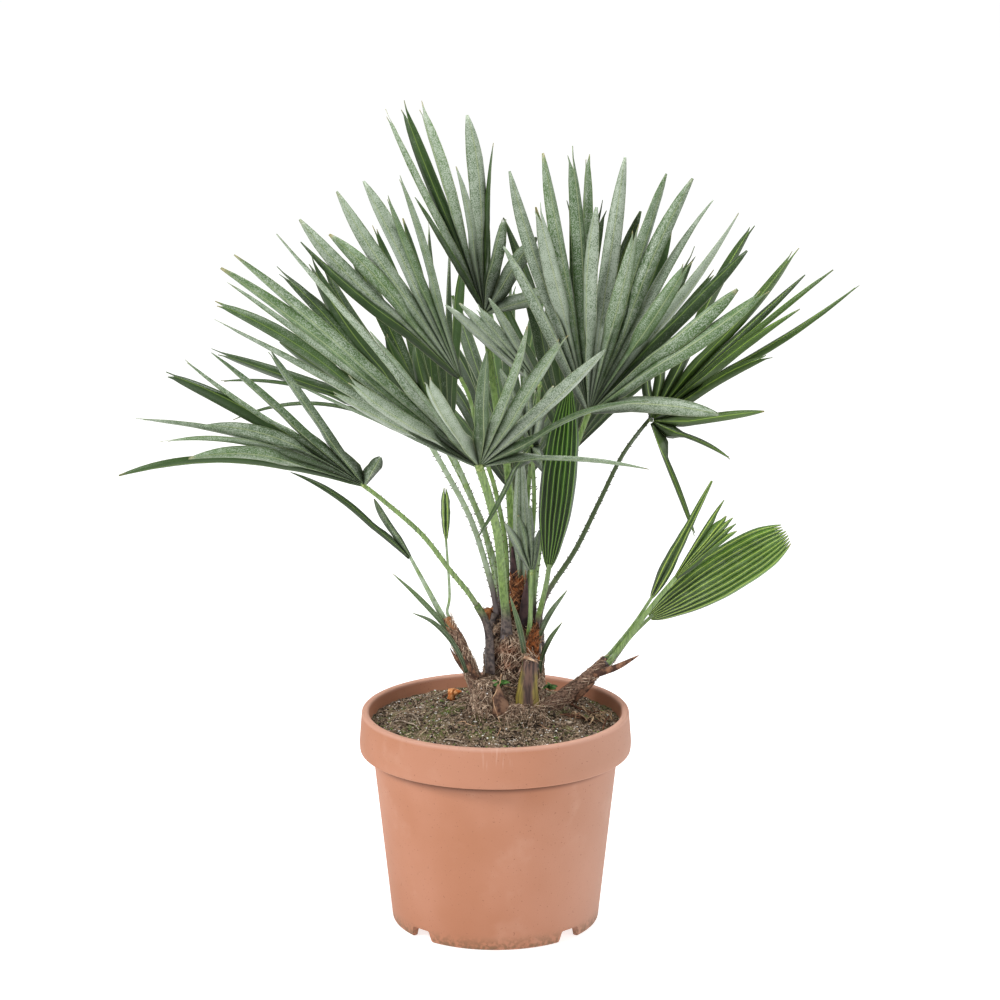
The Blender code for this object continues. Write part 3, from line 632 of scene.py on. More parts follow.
bm = bmesh.new()
bmesh.ops.create_grid(bm, x_segments=130, y_segments=110, size=1.0)
bmesh.ops.delete(bm, geom=[v for v in bm.verts if v.co.length > 1.0], context="VERTS")
for vert in bm.verts:
    x, y = MAT_X + vert.co.x * 0.066, MAT_Y + vert.co.y * 0.061
    rough = noise.fractal(Vector((x * 120, y * 120, 2.0)), 1.0, 2.0, 4) * 0.0026
    sunk = 0.0030 * vert.co.length ** 4
    vert.co = Vector((x, y, mound(x, y) + rough - sunk))
bmesh.ops.recalc_face_normals(bm, faces=bm.faces)
made_piece("root_mat", bm, [earth], "soil", 60)


def on_mound():
    """A random place on the front of the root mat."""
    x, y = luck.uniform(-0.038, 0.078), luck.uniform(-0.082, -0.030)
    return Vector((x, y, mound(x, y)))


grains("mound_crumbs", crumb, count=700, small=0.0010, large=0.0026, place=on_mound)
grains("mound_perlite", perlite, count=90, small=0.0005, large=0.0014, place=on_mound)
heap = []
for k in range(5200):
    turn = luck.uniform(0, math.tau)
    out = math.sqrt(luck.uniform(0.12, 1.0))
    if k % 2:
        start = Vector((0.002 + out * 0.034 * math.cos(turn), -0.040 + out * 0.030 * math.sin(turn), 0))
    else:
        start = Vector((MAT_X + out * 0.062 * math.cos(turn), MAT_Y + out * 0.056 * math.sin(turn), 0))
    # the pointed sheath stands here
    if abs(start.x - 0.004) < 0.011 and -0.066 < start.y < -0.050:
        continue
    if mound(start.x, start.y) - soil_level(start.x, start.y) < luck.uniform(0.002, 0.016):
        continue
    spin, length, lift = luck.uniform(0, math.tau), luck.uniform(0.006, 0.018), luck.uniform(0.0, 0.0018)
    heap.append(creeping(start.x, start.y, spin, length, lift))
strands("root_fibres", fibres[::-1], heap, FIBRE, "trunk_fibre", 0.6)
hanging_root = [(0.0065, -0.0450, 0.2940), (0.0052, -0.0500, 0.2860), (0.0015, -0.0580, 0.2793),
                (-0.0028, -0.0640, 0.2730), (-0.0012, -0.0665, 0.2640), (0.0024, -0.0700, 0.2550),
                (0.0050, -0.0760, 0.2485)]
short_root = [(0.0100, -0.0440, 0.2803), (0.0170, -0.0450, 0.2792), (0.0230, -0.0450, 0.2785)]
root_tan = speckled("root_tan", (150, 114, 88), (198, 164, 130), 200.0)
strands("pale_roots", [root_tan], [
    hanging_root, short_root, lying((0.005, -0.076), (0.003, -0.088)),
    lying((0.045, -0.062), (0.060, -0.070), 0.002), lying((-0.040, -0.060), (-0.022, -0.072), 0.002)],
    0.00062, "trunk_fibre", 0.7)

# ---------------------------------------------------------------- Old leaf bases
# Cut-off sheaths that still clasp the trunk: a broad olive one in front with a torn
# top, a pointed brown one left of it, and a small round stub on top.
old_sheath, tree, shader, place = finish_of("old_sheath", 0.5, 0.4)
x, _, z = split_axes(tree, place)
lines = mottled(tree, stretched(tree, place, (420.0, 420.0, 26.0)), 1.0, 0.36, 0.64)
skin = tint(tree, lines, shade_of(54, 38, 34), shade_of(104, 78, 66))
sideways = calc(tree, "ADD", x, times(tree, mottled(tree, place, 60.0, 0.2, 0.8), 0.004))
left_part = times(tree, rise(tree, sideways, 0.0350, 0.0290), rise(tree, x, 0.0185, 0.0200))
right_part = times(tree, rise(tree, sideways, 0.0420, 0.0460), rise(tree, z, 0.302, 0.290))
olive = tint(tree, lines, shade_of(104, 92, 34), shade_of(152, 136, 58))
alive = times(tree, calc(tree, "ADD", left_part, right_part), rise(tree, z, 0.310, 0.288), 0.92)
paint(tree, shader, tint(tree, alive, skin, olive), lines, 0.5, 0.0008)


def smooth_route(points, count):
    """A Catmull-Rom line through given points, as evenly spread places, and its length."""
    points = [Vector(p) for p in points]
    ends = [points[0] * 2 - points[1]] + points + [points[-1] * 2 - points[-2]]
    fine = []
    for a, b, c, d in zip(ends, ends[1:], ends[2:], ends[3:]):
        square, cube = a * 2 - b * 5 + c * 4 - d, b * 3 - a - c * 3 + d
        for k in range(12):
            t = k / 12
            fine.append(((b * 2) + (c - a) * t + square * t ** 2 + cube * t ** 3) / 2)
    fine.append(points[-1])
    total = [0.0]
    for a, b in zip(fine, fine[1:]):
        total.append(total[-1] + (b - a).length)
    route, k = [], 0
    for step in range(count + 1):
        want = total[-1] * step / count
        while k < len(fine) - 2 and total[k + 1] < want:
            k += 1
        span = max(total[k + 1] - total[k], 1e-9)
        route.append(fine[k].lerp(fine[k + 1], min(max((want - total[k]) / span, 0), 1)))
    return route, total[-1]


def frames_along(route, outward):
    """A frame at each place of a route: X to the side, Y outwards, Z along."""
    frames = []
    for k, spot in enumerate(route):
        along = (route[min(k + 1, len(route) - 1)] - route[max(k - 1, 0)]).normalized()
        side = along.cross(outward).normalized()
        frames.append(Matrix((side, side.cross(along) * -1, along)).transposed().to_4x4())
        frames[-1].translation = spot
    return frames


def ring_edges(ring):
    """The edges between a ring's vertices, in the order of the ring."""
    touching = dict.fromkeys(e for v in ring for e in v.link_edges)
    return [e for e in touching if all(v in ring for v in e.verts)]


def swept(bm, route, outward, width, depth, sides=12, shape=None):
    """A closed stalk-like body: a ring carried along a route and capped at both ends.

    width and depth are functions of the share along; shape may reshape a ring's
    vertex from its turn, share and place in the ring's own frame.
    """
    frames = frames_along(route, outward)
    first = bmesh.ops.create_circle(bm, cap_ends=False, segments=sides, radius=1.0)["verts"]
    rings = [first]
    for _ in frames[1:]:
        grown = bmesh.ops.extrude_edge_only(bm, edges=ring_edges(rings[-1]))["geom"]
        rings.append([g for g in grown if isinstance(g, bmesh.types.BMVert)])
    for k, (ring, place) in enumerate(zip(rings, frames)):
        t = k / (len(frames) - 1)
        for vert in ring:
            turn = math.atan2(vert.co.y, vert.co.x)
            spot = Vector((math.cos(turn) * width(t), math.sin(turn) * depth(t), 0))
            if shape:
                spot = shape(turn, t, spot)
            vert.co = place @ spot
    for ring in (rings[0], rings[-1]):
        bmesh.ops.holes_fill(bm, edges=ring_edges(ring))
    faces = list(dict.fromkeys(f for ring in rings for v in ring for f in v.link_faces))
    bmesh.ops.recalc_face_normals(bm, faces=faces)
    return rings


def torn_top(amount, seed):
    """Ragged upper end: the last rings move up and down along their frame."""
    def shape(turn, t, spot):
        ragged = noise.noise(Vector((math.cos(turn) * 3, math.sin(turn) * 3, seed))) * amount
        ribs = 1 + 0.05 * math.sin(turn * 9) + 0.04 * noise.noise(Vector((turn * 3, t * 6, seed)))
        return Vector((spot.x * ribs, spot.y * ribs, ragged * max(0, t - 0.7) / 0.3))
    return shape


FRONT = Vector((0, -1, 0))
SOIL_SEAT = SOIL_TOP - 0.004


def sheath(bm, points, steps, width, depth, sides, shape=None, outward=FRONT):
    """A body swept along the smooth line through its points."""
    swept(bm, smooth_route(points, steps)[0], outward, width, depth, sides, shape)


bm = bmesh.new()
sheath(bm, [(0.0345, -0.0455, SOIL_SEAT), (0.0345, -0.0470, 0.262), (0.0360, -0.0465, 0.285),
            (0.0385, -0.0440, 0.3095)], 20,
       lambda t: 0.0156 - 0.0082 * t, lambda t: 0.0090 - 0.0038 * t, 28, torn_top(0.008, 3.0))
boot = made_piece("cut_sheath_front", bm, [old_sheath], "leaf_base", 40)
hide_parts("boot_front")

bm = bmesh.new()
sheath(bm, [(0.0085, -0.055, SOIL_SEAT - 0.001), (0.0070, -0.0585, 0.256), (0.0045, -0.0575, 0.270),
            (0.0028, -0.0535, 0.2850)], 16,
       lambda t: 0.0165 * (1 - t) + 0.0010, lambda t: 0.0075 * (1 - t) ** 0.8 + 0.0010, 20,
       torn_top(0.002, 8.0))
brown_sheath = speckled("brown_sheath", (66, 46, 38), (124, 94, 74), 120.0, 0.6)
boot = made_piece("pointed_sheath_left", bm, [brown_sheath], "leaf_base", 40)
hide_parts("boot_left")

bm = bmesh.new()
sheath(bm, [(-0.0065, 0.0095, TRUNK_TOP - 0.003), (-0.0070, 0.0095, 0.335), (-0.0080, 0.0085, 0.3535)], 12,
       lambda t: 0.0044 + 0.0018 * t, lambda t: 0.0040 + 0.0014 * t, 16, torn_top(0.005, 5.0))
rusty_stub = speckled("rusty_stub", (96, 56, 34), (172, 112, 66), 150.0)
stub = made_piece("cut_stub", bm, [rusty_stub], "trunk_fibre", 40)
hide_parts("boot_stub")

tufts = []
for centre, radius, top, count in (
        ((0.0380, -0.0430), 0.0080, 0.313, 45), ((-0.0078, 0.0085), 0.0050, 0.350, 40),
        ((0.0355, -0.0455), 0.0140, 0.2590, 120), ((0.0045, -0.0585), 0.0125, 0.2540, 40)):
    for _ in range(count):
        turn = luck.uniform(0, math.tau)
        start = Vector((centre[0] + radius * math.cos(turn), centre[1] + radius * 0.75 * math.sin(turn),
                        top + luck.uniform(-0.004, 0.003)))
        heading = Vector((math.cos(turn + 1.4) * 0.8, math.sin(turn + 1.4) * 0.8, luck.uniform(-0.4, 0.7)))
        tufts.append(wandering(start, heading, luck.uniform(0.005, 0.014), 0.4, 4))
strands("sheath_tufts", fibres, tufts, FIBRE, "trunk_fibre")

# ---------------------------------------------------------------- Side shoots
# Two young stems that lean out of the root ball, each wrapped in scaly bark and
# fibre, with torn scales where their first leaves have dried.
shoot_bark, tree, shader, place = finish_of("shoot_bark", 0.9, 0.2)
lay = mottled(tree, place, 420.0, 0.25, 0.75, 5.0)
skin = tint(tree, lay, shade_of(60, 45, 39), shade_of(142, 114, 96))
high_up = rise(tree, split_axes(tree, place)[2], 0.334, 0.350)
rusty = times(tree, high_up, mottled(tree, place, 90.0, 0.30, 0.55))
skin = tint(tree, rusty, skin, shade_of(164, 114, 76))
paint(tree, shader, skin, lay, 0.7, 0.0012)


def scaly(seed):
    """Bark that bulges in lengthwise scales."""
    def shape(turn, t, spot):
        lumps = noise.noise(Vector((math.cos(turn) * 2.5, math.sin(turn) * 2.5, t * 5 + seed)))
        swell = 1 + 0.10 * lumps + 0.05 * math.sin(turn * 5 + seed)
        return Vector((spot.x * swell, spot.y * swell, 0.0015 * noise.noise(Vector((turn * 2, t * 9, seed)))))
    return shape


LEFT_STEM = [(-0.006, -0.036, 0.236), (-0.011, -0.035, 0.250), (-0.028, -0.031, 0.297),
             (-0.054, -0.025, 0.352)]
RIGHT_STEM = [(0.048, -0.023, 0.236), (0.063, -0.016, 0.2500), (0.094, -0.007, 0.2715),
              (0.124, -0.010, 0.300)]
SHOOT_FOOT_RADIUS = 0.0100
SHOOT_HEAD_RADIUS = 0.0066
SHOOT_STEPS = 40
FLATTENED = 0.92


def shoot_radius(t):
    return SHOOT_FOOT_RADIUS + (SHOOT_HEAD_RADIUS - SHOOT_FOOT_RADIUS) * t


def stout(t):
    """A shoot's half width, drawn in where its top dried off."""
    return shoot_radius(t) * (1 - 0.40 * max(0.0, (t - 0.86) / 0.14) ** 1.6)


def clinging(place, radius):
    """A fibre that winds a little way round a shoot."""
    turn = luck.uniform(0, math.tau)
    ahead = luck.choice((-1, 1, 1)) * luck.uniform(0.7, 1.0)
    length = luck.uniform(0.008, 0.018)
    line = []
    for step in range(5):
        t = step / 4
        spin = turn + t * length / radius * 0.5
        lift = radius + luck.uniform(-0.0006, 0.0008) + 0.0012 * t * luck.uniform(0, 1)
        line.append(place @ Vector((lift * math.cos(spin), lift * FLATTENED * math.sin(spin),
                                    ahead * length * t)))
    return line


for name, stem, seed, hair_count in (("left", LEFT_STEM, 1.0, 340), ("right", RIGHT_STEM, 4.0, 130)):
    bm = bmesh.new()
    route = smooth_route(stem, SHOOT_STEPS)[0]
    swept(bm, route, FRONT, stout, lambda t: stout(t) * FLATTENED, 24, scaly(seed))
    piece = made_piece("side_shoot_" + name, bm, [shoot_bark], "trunk_fibre", 50)
    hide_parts("shoot_" + name)
    places = frames_along(route, FRONT)
    hairs = []
    for _ in range(hair_count):
        k = luck.randrange(4, len(places) - 1)
        hairs.append(clinging(places[k], shoot_radius(k / SHOOT_STEPS) * 1.02))
    strands("shoot_fibres_" + name, fibres, hairs, 0.00034, "trunk_fibre")

bract_brown = speckled("dried_bract", (66, 48, 40), (134, 98, 76), 140.0)
SCALE_THICKNESS = 0.0006


def scale_leaf(bm, foot, tip, outward, width, curl=0.3, twist=0.0):
    """A dried scale: a small lance-shaped sheet, hollow along its middle."""
    foot, tip, outward = Vector(foot), Vector(tip), Vector(outward)
    run = tip - foot
    side = run.cross(outward).normalized()
    face = side.cross(run).normalized()
    count = len(bm.verts)
    bmesh.ops.create_grid(bm, x_segments=4, y_segments=10, size=1.0)
    bm.verts.ensure_lookup_table()
    for vert in bm.verts[count:]:
        u, t = vert.co.x, (vert.co.y + 1) / 2
        half = width / 2 * (1 - t ** 1.5) * (0.75 + 0.5 * t) + 0.0002
        ragged = 1 + 0.15 * noise.noise(Vector((u * 2, t * 8, width * 900)))
        turn = twist * t
        across = side * math.cos(turn) + face * math.sin(turn)
        hollow = face * (abs(u) ** 2) * half * curl
        arch = face * run.length * 0.08 * math.sin(math.pi * t)
        vert.co = foot + run * t + across * u * half * ragged - hollow + arch


def thin_sheet(piece, thickness, backing=0):
    """Gives an open sheet its real thickness."""
    shell = piece.modifiers.new("thickness", "SOLIDIFY")
    shell.thickness = thickness
    shell.offset = 0.0
    shell.use_even_offset = False
    shell.material_offset = backing
    return piece


bm = bmesh.new()
scale_leaf(bm, (0.1090, -0.0175, 0.2830), (0.1575, -0.0240, 0.3095), (0, -1, -0.4), 0.010, 0.9, 0.5)
bract = thin_sheet(made_piece("dried_bract_right", bm, [bract_brown], "trunk_fibre", 60), SCALE_THICKNESS)
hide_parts("bract_right")
bm = bmesh.new()
for foot, tip, outward, width in (
        ((-0.0340, -0.0370, 0.2950), (-0.0495, -0.0370, 0.3215), (-0.3, -1, 0), 0.005),
        ((-0.0200, -0.0405, 0.2860), (-0.0350, -0.0385, 0.3130), (0, -1, 0), 0.008),
        ((0.0820, -0.0110, 0.2520), (0.1100, -0.0150, 0.2760), (0, -1, 0), 0.010),
        ((0.1060, 0.0000, 0.2900), (0.1310, -0.0020, 0.3060), (0.3, 0, 1), 0.009),
        ((0.0900, -0.0050, 0.2760), (0.1170, -0.0080, 0.2970), (-0.6, -0.3, 1), 0.010),
        ((-0.0400, -0.0290, 0.3320), (-0.0530, -0.0270, 0.3530), (-0.8, -0.4, 0.3), 0.009),
        ((-0.0280, -0.0240, 0.3100), (-0.0420, -0.0200, 0.3400), (0.8, 0.3, 0.3), 0.010)):
    scale_leaf(bm, foot, tip, outward, width, curl=0.8)
thin_sheet(made_piece("shoot_scales", bm, [bract_brown], "trunk_fibre", 60), SCALE_THICKNESS)
bm = bmesh.new()
scale_leaf(bm, (0.0315, -0.0510, 0.3165), (0.0462, -0.0520, 0.3095), (0, -0.6, 1), 0.0046, 1.2, 0.5)
tan_curl = speckled("tan_curl", (148, 114, 90), (206, 176, 148), 200.0)
thin_sheet(made_piece("sheath_curl", bm, [tan_curl], "leaf_base", 60), SCALE_THICKNESS)

# ---------------------------------------------------------------- Leaf stalks
# Long stiff stalks, flat on top and rounded below, with hooked dark spines along
# both edges. Each is purple-brown where it leaves the trunk and green above.
stalk_skin, tree, shader, place = finish_of("stalk_skin", 0.30, 0.60)
traits = tree.nodes.new("ShaderNodeAttribute")
traits.attribute_name = "grown"
wax_share, from_foot, purple_end = split_axes(tree, traits.outputs["Vector"])
lines = mottled(tree, stretched(tree, place, (500.0, 500.0, 60.0)), 1.0, 0.15, 0.85)
skin = tint(tree, lines, shade_of(52, 80, 26), shade_of(128, 156, 80))
skin = tint(tree, times(tree, mottled(tree, place, 900.0, 0.44, 0.66), 0.30), skin, shade_of(136, 156, 106))
patchy = calc(tree, "ADD", wax_share, times(tree, mottled(tree, place, 120.0, 0.2, 0.8), 0.5))
skin = tint(tree, times(tree, rise(tree, patchy, 0.45, 1.05), 0.85), skin, shade_of(156, 170, 148))
purple = tint(tree, lines, shade_of(44, 33, 37), shade_of(104, 90, 88))
at_foot = rise(tree, from_foot, times(tree, purple_end, 1.20), times(tree, purple_end, 0.70))
skin = tint(tree, at_foot, skin, purple)
# Painted shade: stalks whose wax share is below zero are painted dark green from a little above the foot.
shaded = times(tree, rise(tree, wax_share, 0.0, -1.0), rise(tree, from_foot, 0.03, 0.10))
paint(tree, shader, tint(tree, shaded, skin, shade_of(50, 62, 36)), lines, 0.25, 0.0005)
spine_dark = speckled("spine_tip", (44, 32, 30), (88, 62, 46), 400.0, 0.5)
STALK_STEPS = 44
INTO_LEAF = 0.0045
SPINE_SPACING = 0.0085
SPINE_RADIUS = 0.00075
SPINE_POINT = 0.00006


def spines(bm, frames, length, width, first, size):
    """Hooked thorns along both edges of a stalk, from the share first upwards."""
    reach = length * first
    while reach < length * 0.97:
        t = reach / length
        k = min(int(t * (len(frames) - 1)), len(frames) - 2)
        place = frames[k].lerp(frames[k + 1], t * (len(frames) - 1) - k)
        for sign in (-1, 1):
            if luck.random() < 0.12:
                continue
            tall = size * luck.uniform(0.55, 1.2) * (1 - 0.45 * t)
            lean = Matrix.Rotation(sign * math.radians(luck.uniform(38, 66)), 4, "Y")
            swing = Matrix.Rotation(math.radians(luck.uniform(-25, 25)), 4, "X")
            shift = Matrix.Translation((sign * width(t) * 0.93, 0, luck.uniform(-0.4, 0.4) * SPINE_SPACING))
            planted = place @ shift @ swing @ lean @ Matrix.Translation((0, 0, tall * 0.42))
            bmesh.ops.create_cone(bm, cap_ends=True, segments=5, radius1=SPINE_RADIUS, radius2=SPINE_POINT,
                                  depth=tall, matrix=planted)
        reach += SPINE_SPACING * luck.uniform(0.7, 1.4)


STALK_FOOT = TRUNK_TOP + 0.0003
STALKS = {
    "front": ((0.0050, 0.0046), [
        (0.010, -0.020, STALK_FOOT), (0.0115, -0.022, 0.352), (0.009, -0.030, 0.382), (0.006, -0.045, 0.420),
        (0.002, -0.060, 0.458), (-0.007, -0.078, 0.501), (-0.017, -0.090, 0.536)]),
    "left_low": ((0.0031, 0.0024), [
        (-0.003, -0.012, STALK_FOOT), (-0.006, -0.020, 0.334), (-0.012, -0.027, 0.352),
        (-0.028, -0.033, 0.381), (-0.050, -0.040, 0.411), (-0.080, -0.045, 0.452), (-0.123, -0.050, 0.492),
        (-0.141, -0.050, 0.506)]),
    "mid_left": ((0.0034, 0.0028), [
        (0.001, 0.002, STALK_FOOT), (0.001, 0.002, 0.351), (-0.005, 0.002, 0.385), (-0.026, 0.002, 0.4545),
        (-0.0545, 0.0, 0.5115), (-0.082, 0.0, 0.560)]),
    "mid_back": ((0.0033, 0.0026), [
        (0.007, 0.014, STALK_FOOT), (0.006, 0.016, 0.360), (0.000, 0.018, 0.400), (-0.018, 0.022, 0.455),
        (-0.043, 0.027, 0.515), (-0.064, 0.032, 0.550)]),
    "left_top": ((0.0030, 0.0022), [
        (0.012, 0.004, STALK_FOOT), (0.012, 0.008, 0.418), (0.001, 0.019, 0.481), (-0.009, 0.026, 0.514),
        (-0.017, 0.029, 0.539), (-0.028, 0.030, 0.586), (-0.037, 0.030, 0.606)]),
    "back_tall": ((0.0050, 0.0034), [
        (0.020, 0.015, STALK_FOOT), (0.021, 0.020, 0.380), (0.019, 0.031, 0.424), (0.013, 0.060, 0.503),
        (0.000, 0.090, 0.570), (-0.012, 0.120, 0.664)]),
    "right_top": ((0.0036, 0.0030), [
        (0.043, 0.013, STALK_FOOT), (0.042, 0.013, 0.364), (0.043, 0.016, 0.398), (0.051, 0.021, 0.432),
        (0.091, 0.035, 0.538), (0.102, 0.040, 0.567)]),
    "right_low": ((0.0034, 0.0020), [
        (0.0475, 0.001, STALK_FOOT), (0.048, 0.003, 0.340), (0.056, 0.010, 0.369), (0.088, 0.025, 0.416),
        (0.1155, 0.040, 0.469), (0.141, 0.057, 0.517), (0.1705, 0.080, 0.5515), (0.172, 0.070, 0.553)]),
    "folded": ((0.0034, 0.0026), [
        (0.044, -0.013, STALK_FOOT), (0.046, -0.026, 0.349), (0.050, -0.038, 0.370), (0.055, -0.047, 0.395),
        (0.058, -0.050, 0.415)]),
    "edge_on": ((0.0028, 0.0022), [
        (0.0315, 0.0235, STALK_FOOT), (0.033, 0.025, 0.400), (0.036, 0.022, 0.480), (0.042, 0.010, 0.550),
        (0.048, -0.005, 0.607)]),
    "centre": ((0.0028, 0.0022), [
        (0.0335, 0.0130, STALK_FOOT), (0.036, 0.012, 0.380), (0.041, 0.010, 0.440), (0.0425, 0.003, 0.480),
        (0.0405, -0.008, 0.525), (0.039, -0.017, 0.542), (0.039, -0.025, 0.5445)]),
    "young": ((0.0031, 0.0020), [
        (0.0355, -0.022, STALK_FOOT), (0.038, -0.030, 0.350), (0.039, -0.034, 0.380),
        (0.0395, -0.035, 0.405)]),
    "spear": ((0.0058, 0.0040), [
        (0.028, -0.003, STALK_FOOT), (0.0285, -0.002, 0.345), (0.029, 0.0, 0.364)]),
    "back_right": ((0.0038, 0.0030), [
        (0.040, 0.0235, STALK_FOOT), (0.042, 0.036, 0.360), (0.052, 0.072, 0.425), (0.068, 0.110, 0.470),
        (0.084, 0.140, 0.500)]),
    "back_left": ((0.0038, 0.0030), [
        (0.009, 0.0245, STALK_FOOT), (0.004, 0.040, 0.360), (-0.012, 0.075, 0.425), (-0.034, 0.110, 0.470),
        (-0.052, 0.135, 0.500)]),
    "back_low": ((0.0038, 0.0030), [
        (0.022, 0.0275, STALK_FOOT), (0.023, 0.050, 0.350), (0.024, 0.100, 0.390), (0.024, 0.150, 0.420),
        (0.022, 0.195, 0.440)]),
}
# how much wax each stalk carries (below zero, how much painted shade it gets instead), how far its foot stays
# purple, and its spines' size
STALK_LOOKS = {
    "front": (0.05, 0.050, 0.0046), "left_low": (0.15, 0.068, 0.0026), "mid_left": (0.62, 0.078, 0.0042),
    "mid_back": (0.45, 0.070, 0.0042), "left_top": (0.20, 0.060, 0.0040), "back_tall": (0.0, 0.108, 0.0040),
    "right_top": (0.10, 0.050, 0.0062), "right_low": (-0.75, 0.075, 0.0036), "folded": (-0.40, 0.050, 0.0026),
    "edge_on": (0.15, 0.050, 0.0058), "centre": (0.1, 0.050, 0.0058), "young": (0.25, 0.018, 0.0),
    "spear": (0.95, 0.020, 0.0), "back_right": (0.3, 0.050, 0.0044), "back_left": (0.3, 0.050, 0.0044),
    "back_low": (0.3, 0.050, 0.0044)}


def stalk(name, points, radii, looks, outward, replaced):
    """One stalk with its spines, as one piece."""
    into_leaf = Vector(points[-1]) + (Vector(points[-1]) - Vector(points[-2])).normalized() * INTO_LEAF
    route, length = smooth_route(points[:-1] + [into_leaf], STALK_STEPS)
    wax_and_shade, purple, thorn = looks

    def width(t):
        return (radii[0] + (radii[1] - radii[0]) * t) * (1 + 0.35 * max(0, 1 - t * 9) ** 2)

    def flat_top(turn, t, spot):
        inner = max(0, -math.sin(turn))
        return Vector((spot.x, spot.y * (1 - 0.45 * inner), 0))

    bm = bmesh.new()
    grown = bm.verts.layers.float_vector.new("grown")
    rings = swept(bm, route, outward, width, lambda t: width(t) * 0.86, 14, flat_top)
    for k, ring in enumerate(rings):
        for vert in ring:
            vert[grown] = Vector((wax_and_shade, length * k / STALK_STEPS, purple))
    faces_before = len(bm.faces)
    if thorn:
        spines(bm, frames_along(route, outward), length, width, max(0.10, purple * 0.6 / length), thorn)
        bm.faces.ensure_lookup_table()
        for face in bm.faces[faces_before:]:
            face.material_index = 1
    piece = made_piece("palm_stalk_" + name, bm, [stalk_skin, spine_dark], "stalk", 50)
    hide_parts(replaced)


for name, (radii, points) in STALKS.items():
    outward = -FRONT if name in ("back_right", "back_left", "back_low") else FRONT
    x, y, z = points[0]
    foot = [(x, y, z - 0.004), (x, y, z + 0.006)]
    stalk(name, foot + points[1:], radii, STALK_LOOKS[name], outward, "stalk_" + name)


def shoot_top(stem, side_shift, depth_shift):
    """A place on the cut top of a side shoot, and the way the shoot points."""
    end = Vector(stem[-1])
    heading = (end - Vector(stem[-2])).normalized()
    side = Vector((heading.z, 0, -heading.x)).normalized()
    return end + side * side_shift + heading.cross(side).normalized() * depth_shift, heading


# the stem each grows from, its place on the cut top, radii, looks as above, and its way
SHOOT_STALKS = {
    "shoot_left": (LEFT_STEM, (-0.0030, 0.0), (0.0036, 0.0018), (0.55, 0.004, 0.0), [
        (-0.091, -0.020, 0.416)]),
    "sprout": (LEFT_STEM, (0.0042, 0.0010), (0.0017, 0.0013), (0.45, 0.004, 0.0), [
        (-0.0500, -0.0235, 0.380), (-0.0536, -0.022, 0.439)]),
    "pleated": (RIGHT_STEM, (0.0042, 0.0030), (0.0022, 0.0020), (-0.70, 0.030, 0.0), [
        (0.1500, -0.0005, 0.325), (0.1705, 0.0, 0.346)]),
    "shoot_right": (RIGHT_STEM, (0.0008, -0.0046), (0.0031, 0.0024), (0.18, 0.004, 0.0), [
        (0.1706, -0.022, 0.364), (0.194, -0.030, 0.396)]),
    "narrow": (RIGHT_STEM, (-0.0036, 0.0018), (0.0024, 0.0018), (0.30, 0.004, 0.0), [
        (0.1515, -0.0115, 0.3405), (0.1705, -0.0105, 0.370)]),
}
for name, (stem, shift, radii, looks, points) in SHOOT_STALKS.items():
    start, heading = shoot_top(stem, *shift)
    foot = [tuple(start - heading * 0.004), tuple(start + heading * 0.006)]
    stalk(name, foot + points, radii, looks, FRONT, "stalk_" + name)

# ---------------------------------------------------------------- Clasping sheaths
# The broad purple-grey feet of the newest stalks, wrapped round the trunk's top, and
# the rusty net of fibre with a dark young sheath round the spear.
sheath_skin, tree, shader, place = finish_of("clasping_sheath", 0.5, 0.4)
height = split_axes(tree, place)[2]
lines = mottled(tree, place, 260.0, 0.35, 0.65)
skin = tint(tree, lines, shade_of(46, 38, 38), shade_of(92, 80, 74))
green = tint(tree, lines, shade_of(70, 96, 42), shade_of(112, 138, 72))
paint(tree, shader, tint(tree, rise(tree, height, 0.348, 0.376), skin, green), lines, 0.3, 0.0006)
purple_sheath = speckled("purple_sheath", (38, 26, 30), (70, 50, 50), 110.0, 0.45)

bm = bmesh.new()
for points, wide, narrow in (
        ([(-0.0055, -0.0290, 0.290), (-0.0060, -0.0285, 0.310), (-0.0068, -0.0270, 0.332),
          (-0.0110, -0.0270, 0.350), (-0.0200, -0.0308, 0.368)], 0.0072, 0.0033),
        ([(0.0128, -0.0290, 0.334), (0.0120, -0.0255, 0.350), (0.0112, -0.0235, 0.364)], 0.0066, 0.0046),
        ([(-0.0095, -0.0020, 0.290), (-0.0060, 0.0000, 0.325), (0.0000, 0.0015, 0.350)], 0.0066, 0.0040),
        ([(0.0520, 0.0020, 0.290), (0.0500, 0.0020, 0.325), (0.0478, 0.0020, 0.345)], 0.0066, 0.0042),
        ([(0.0450, -0.0190, 0.290), (0.0460, -0.0150, 0.322), (0.0445, -0.0150, 0.338)], 0.0060, 0.0040),
        ([(0.0480, 0.0200, 0.285), (0.0440, 0.0200, 0.325), (0.0410, 0.0230, 0.345)], 0.0070, 0.0040),
        ([(-0.0020, 0.0260, 0.285), (0.0050, 0.0250, 0.325), (0.0085, 0.0250, 0.345)], 0.0070, 0.0040),
        ([(0.0230, 0.0330, 0.285), (0.0225, 0.0290, 0.325), (0.0220, 0.0280, 0.342)], 0.0076, 0.0042)):
    x, y, _ = points[0]
    outward = Vector((x - TRUNK_X, y, 0)).normalized()
    sheath(bm, points, 24, lambda t: wide + (narrow - wide) * t,
           lambda t: (0.0034 + 0.0010 * t) * min(1, 0.3 + t * 6), 18, outward=outward)
made_piece("clasping_sheaths", bm, [sheath_skin], "stalk", 60)

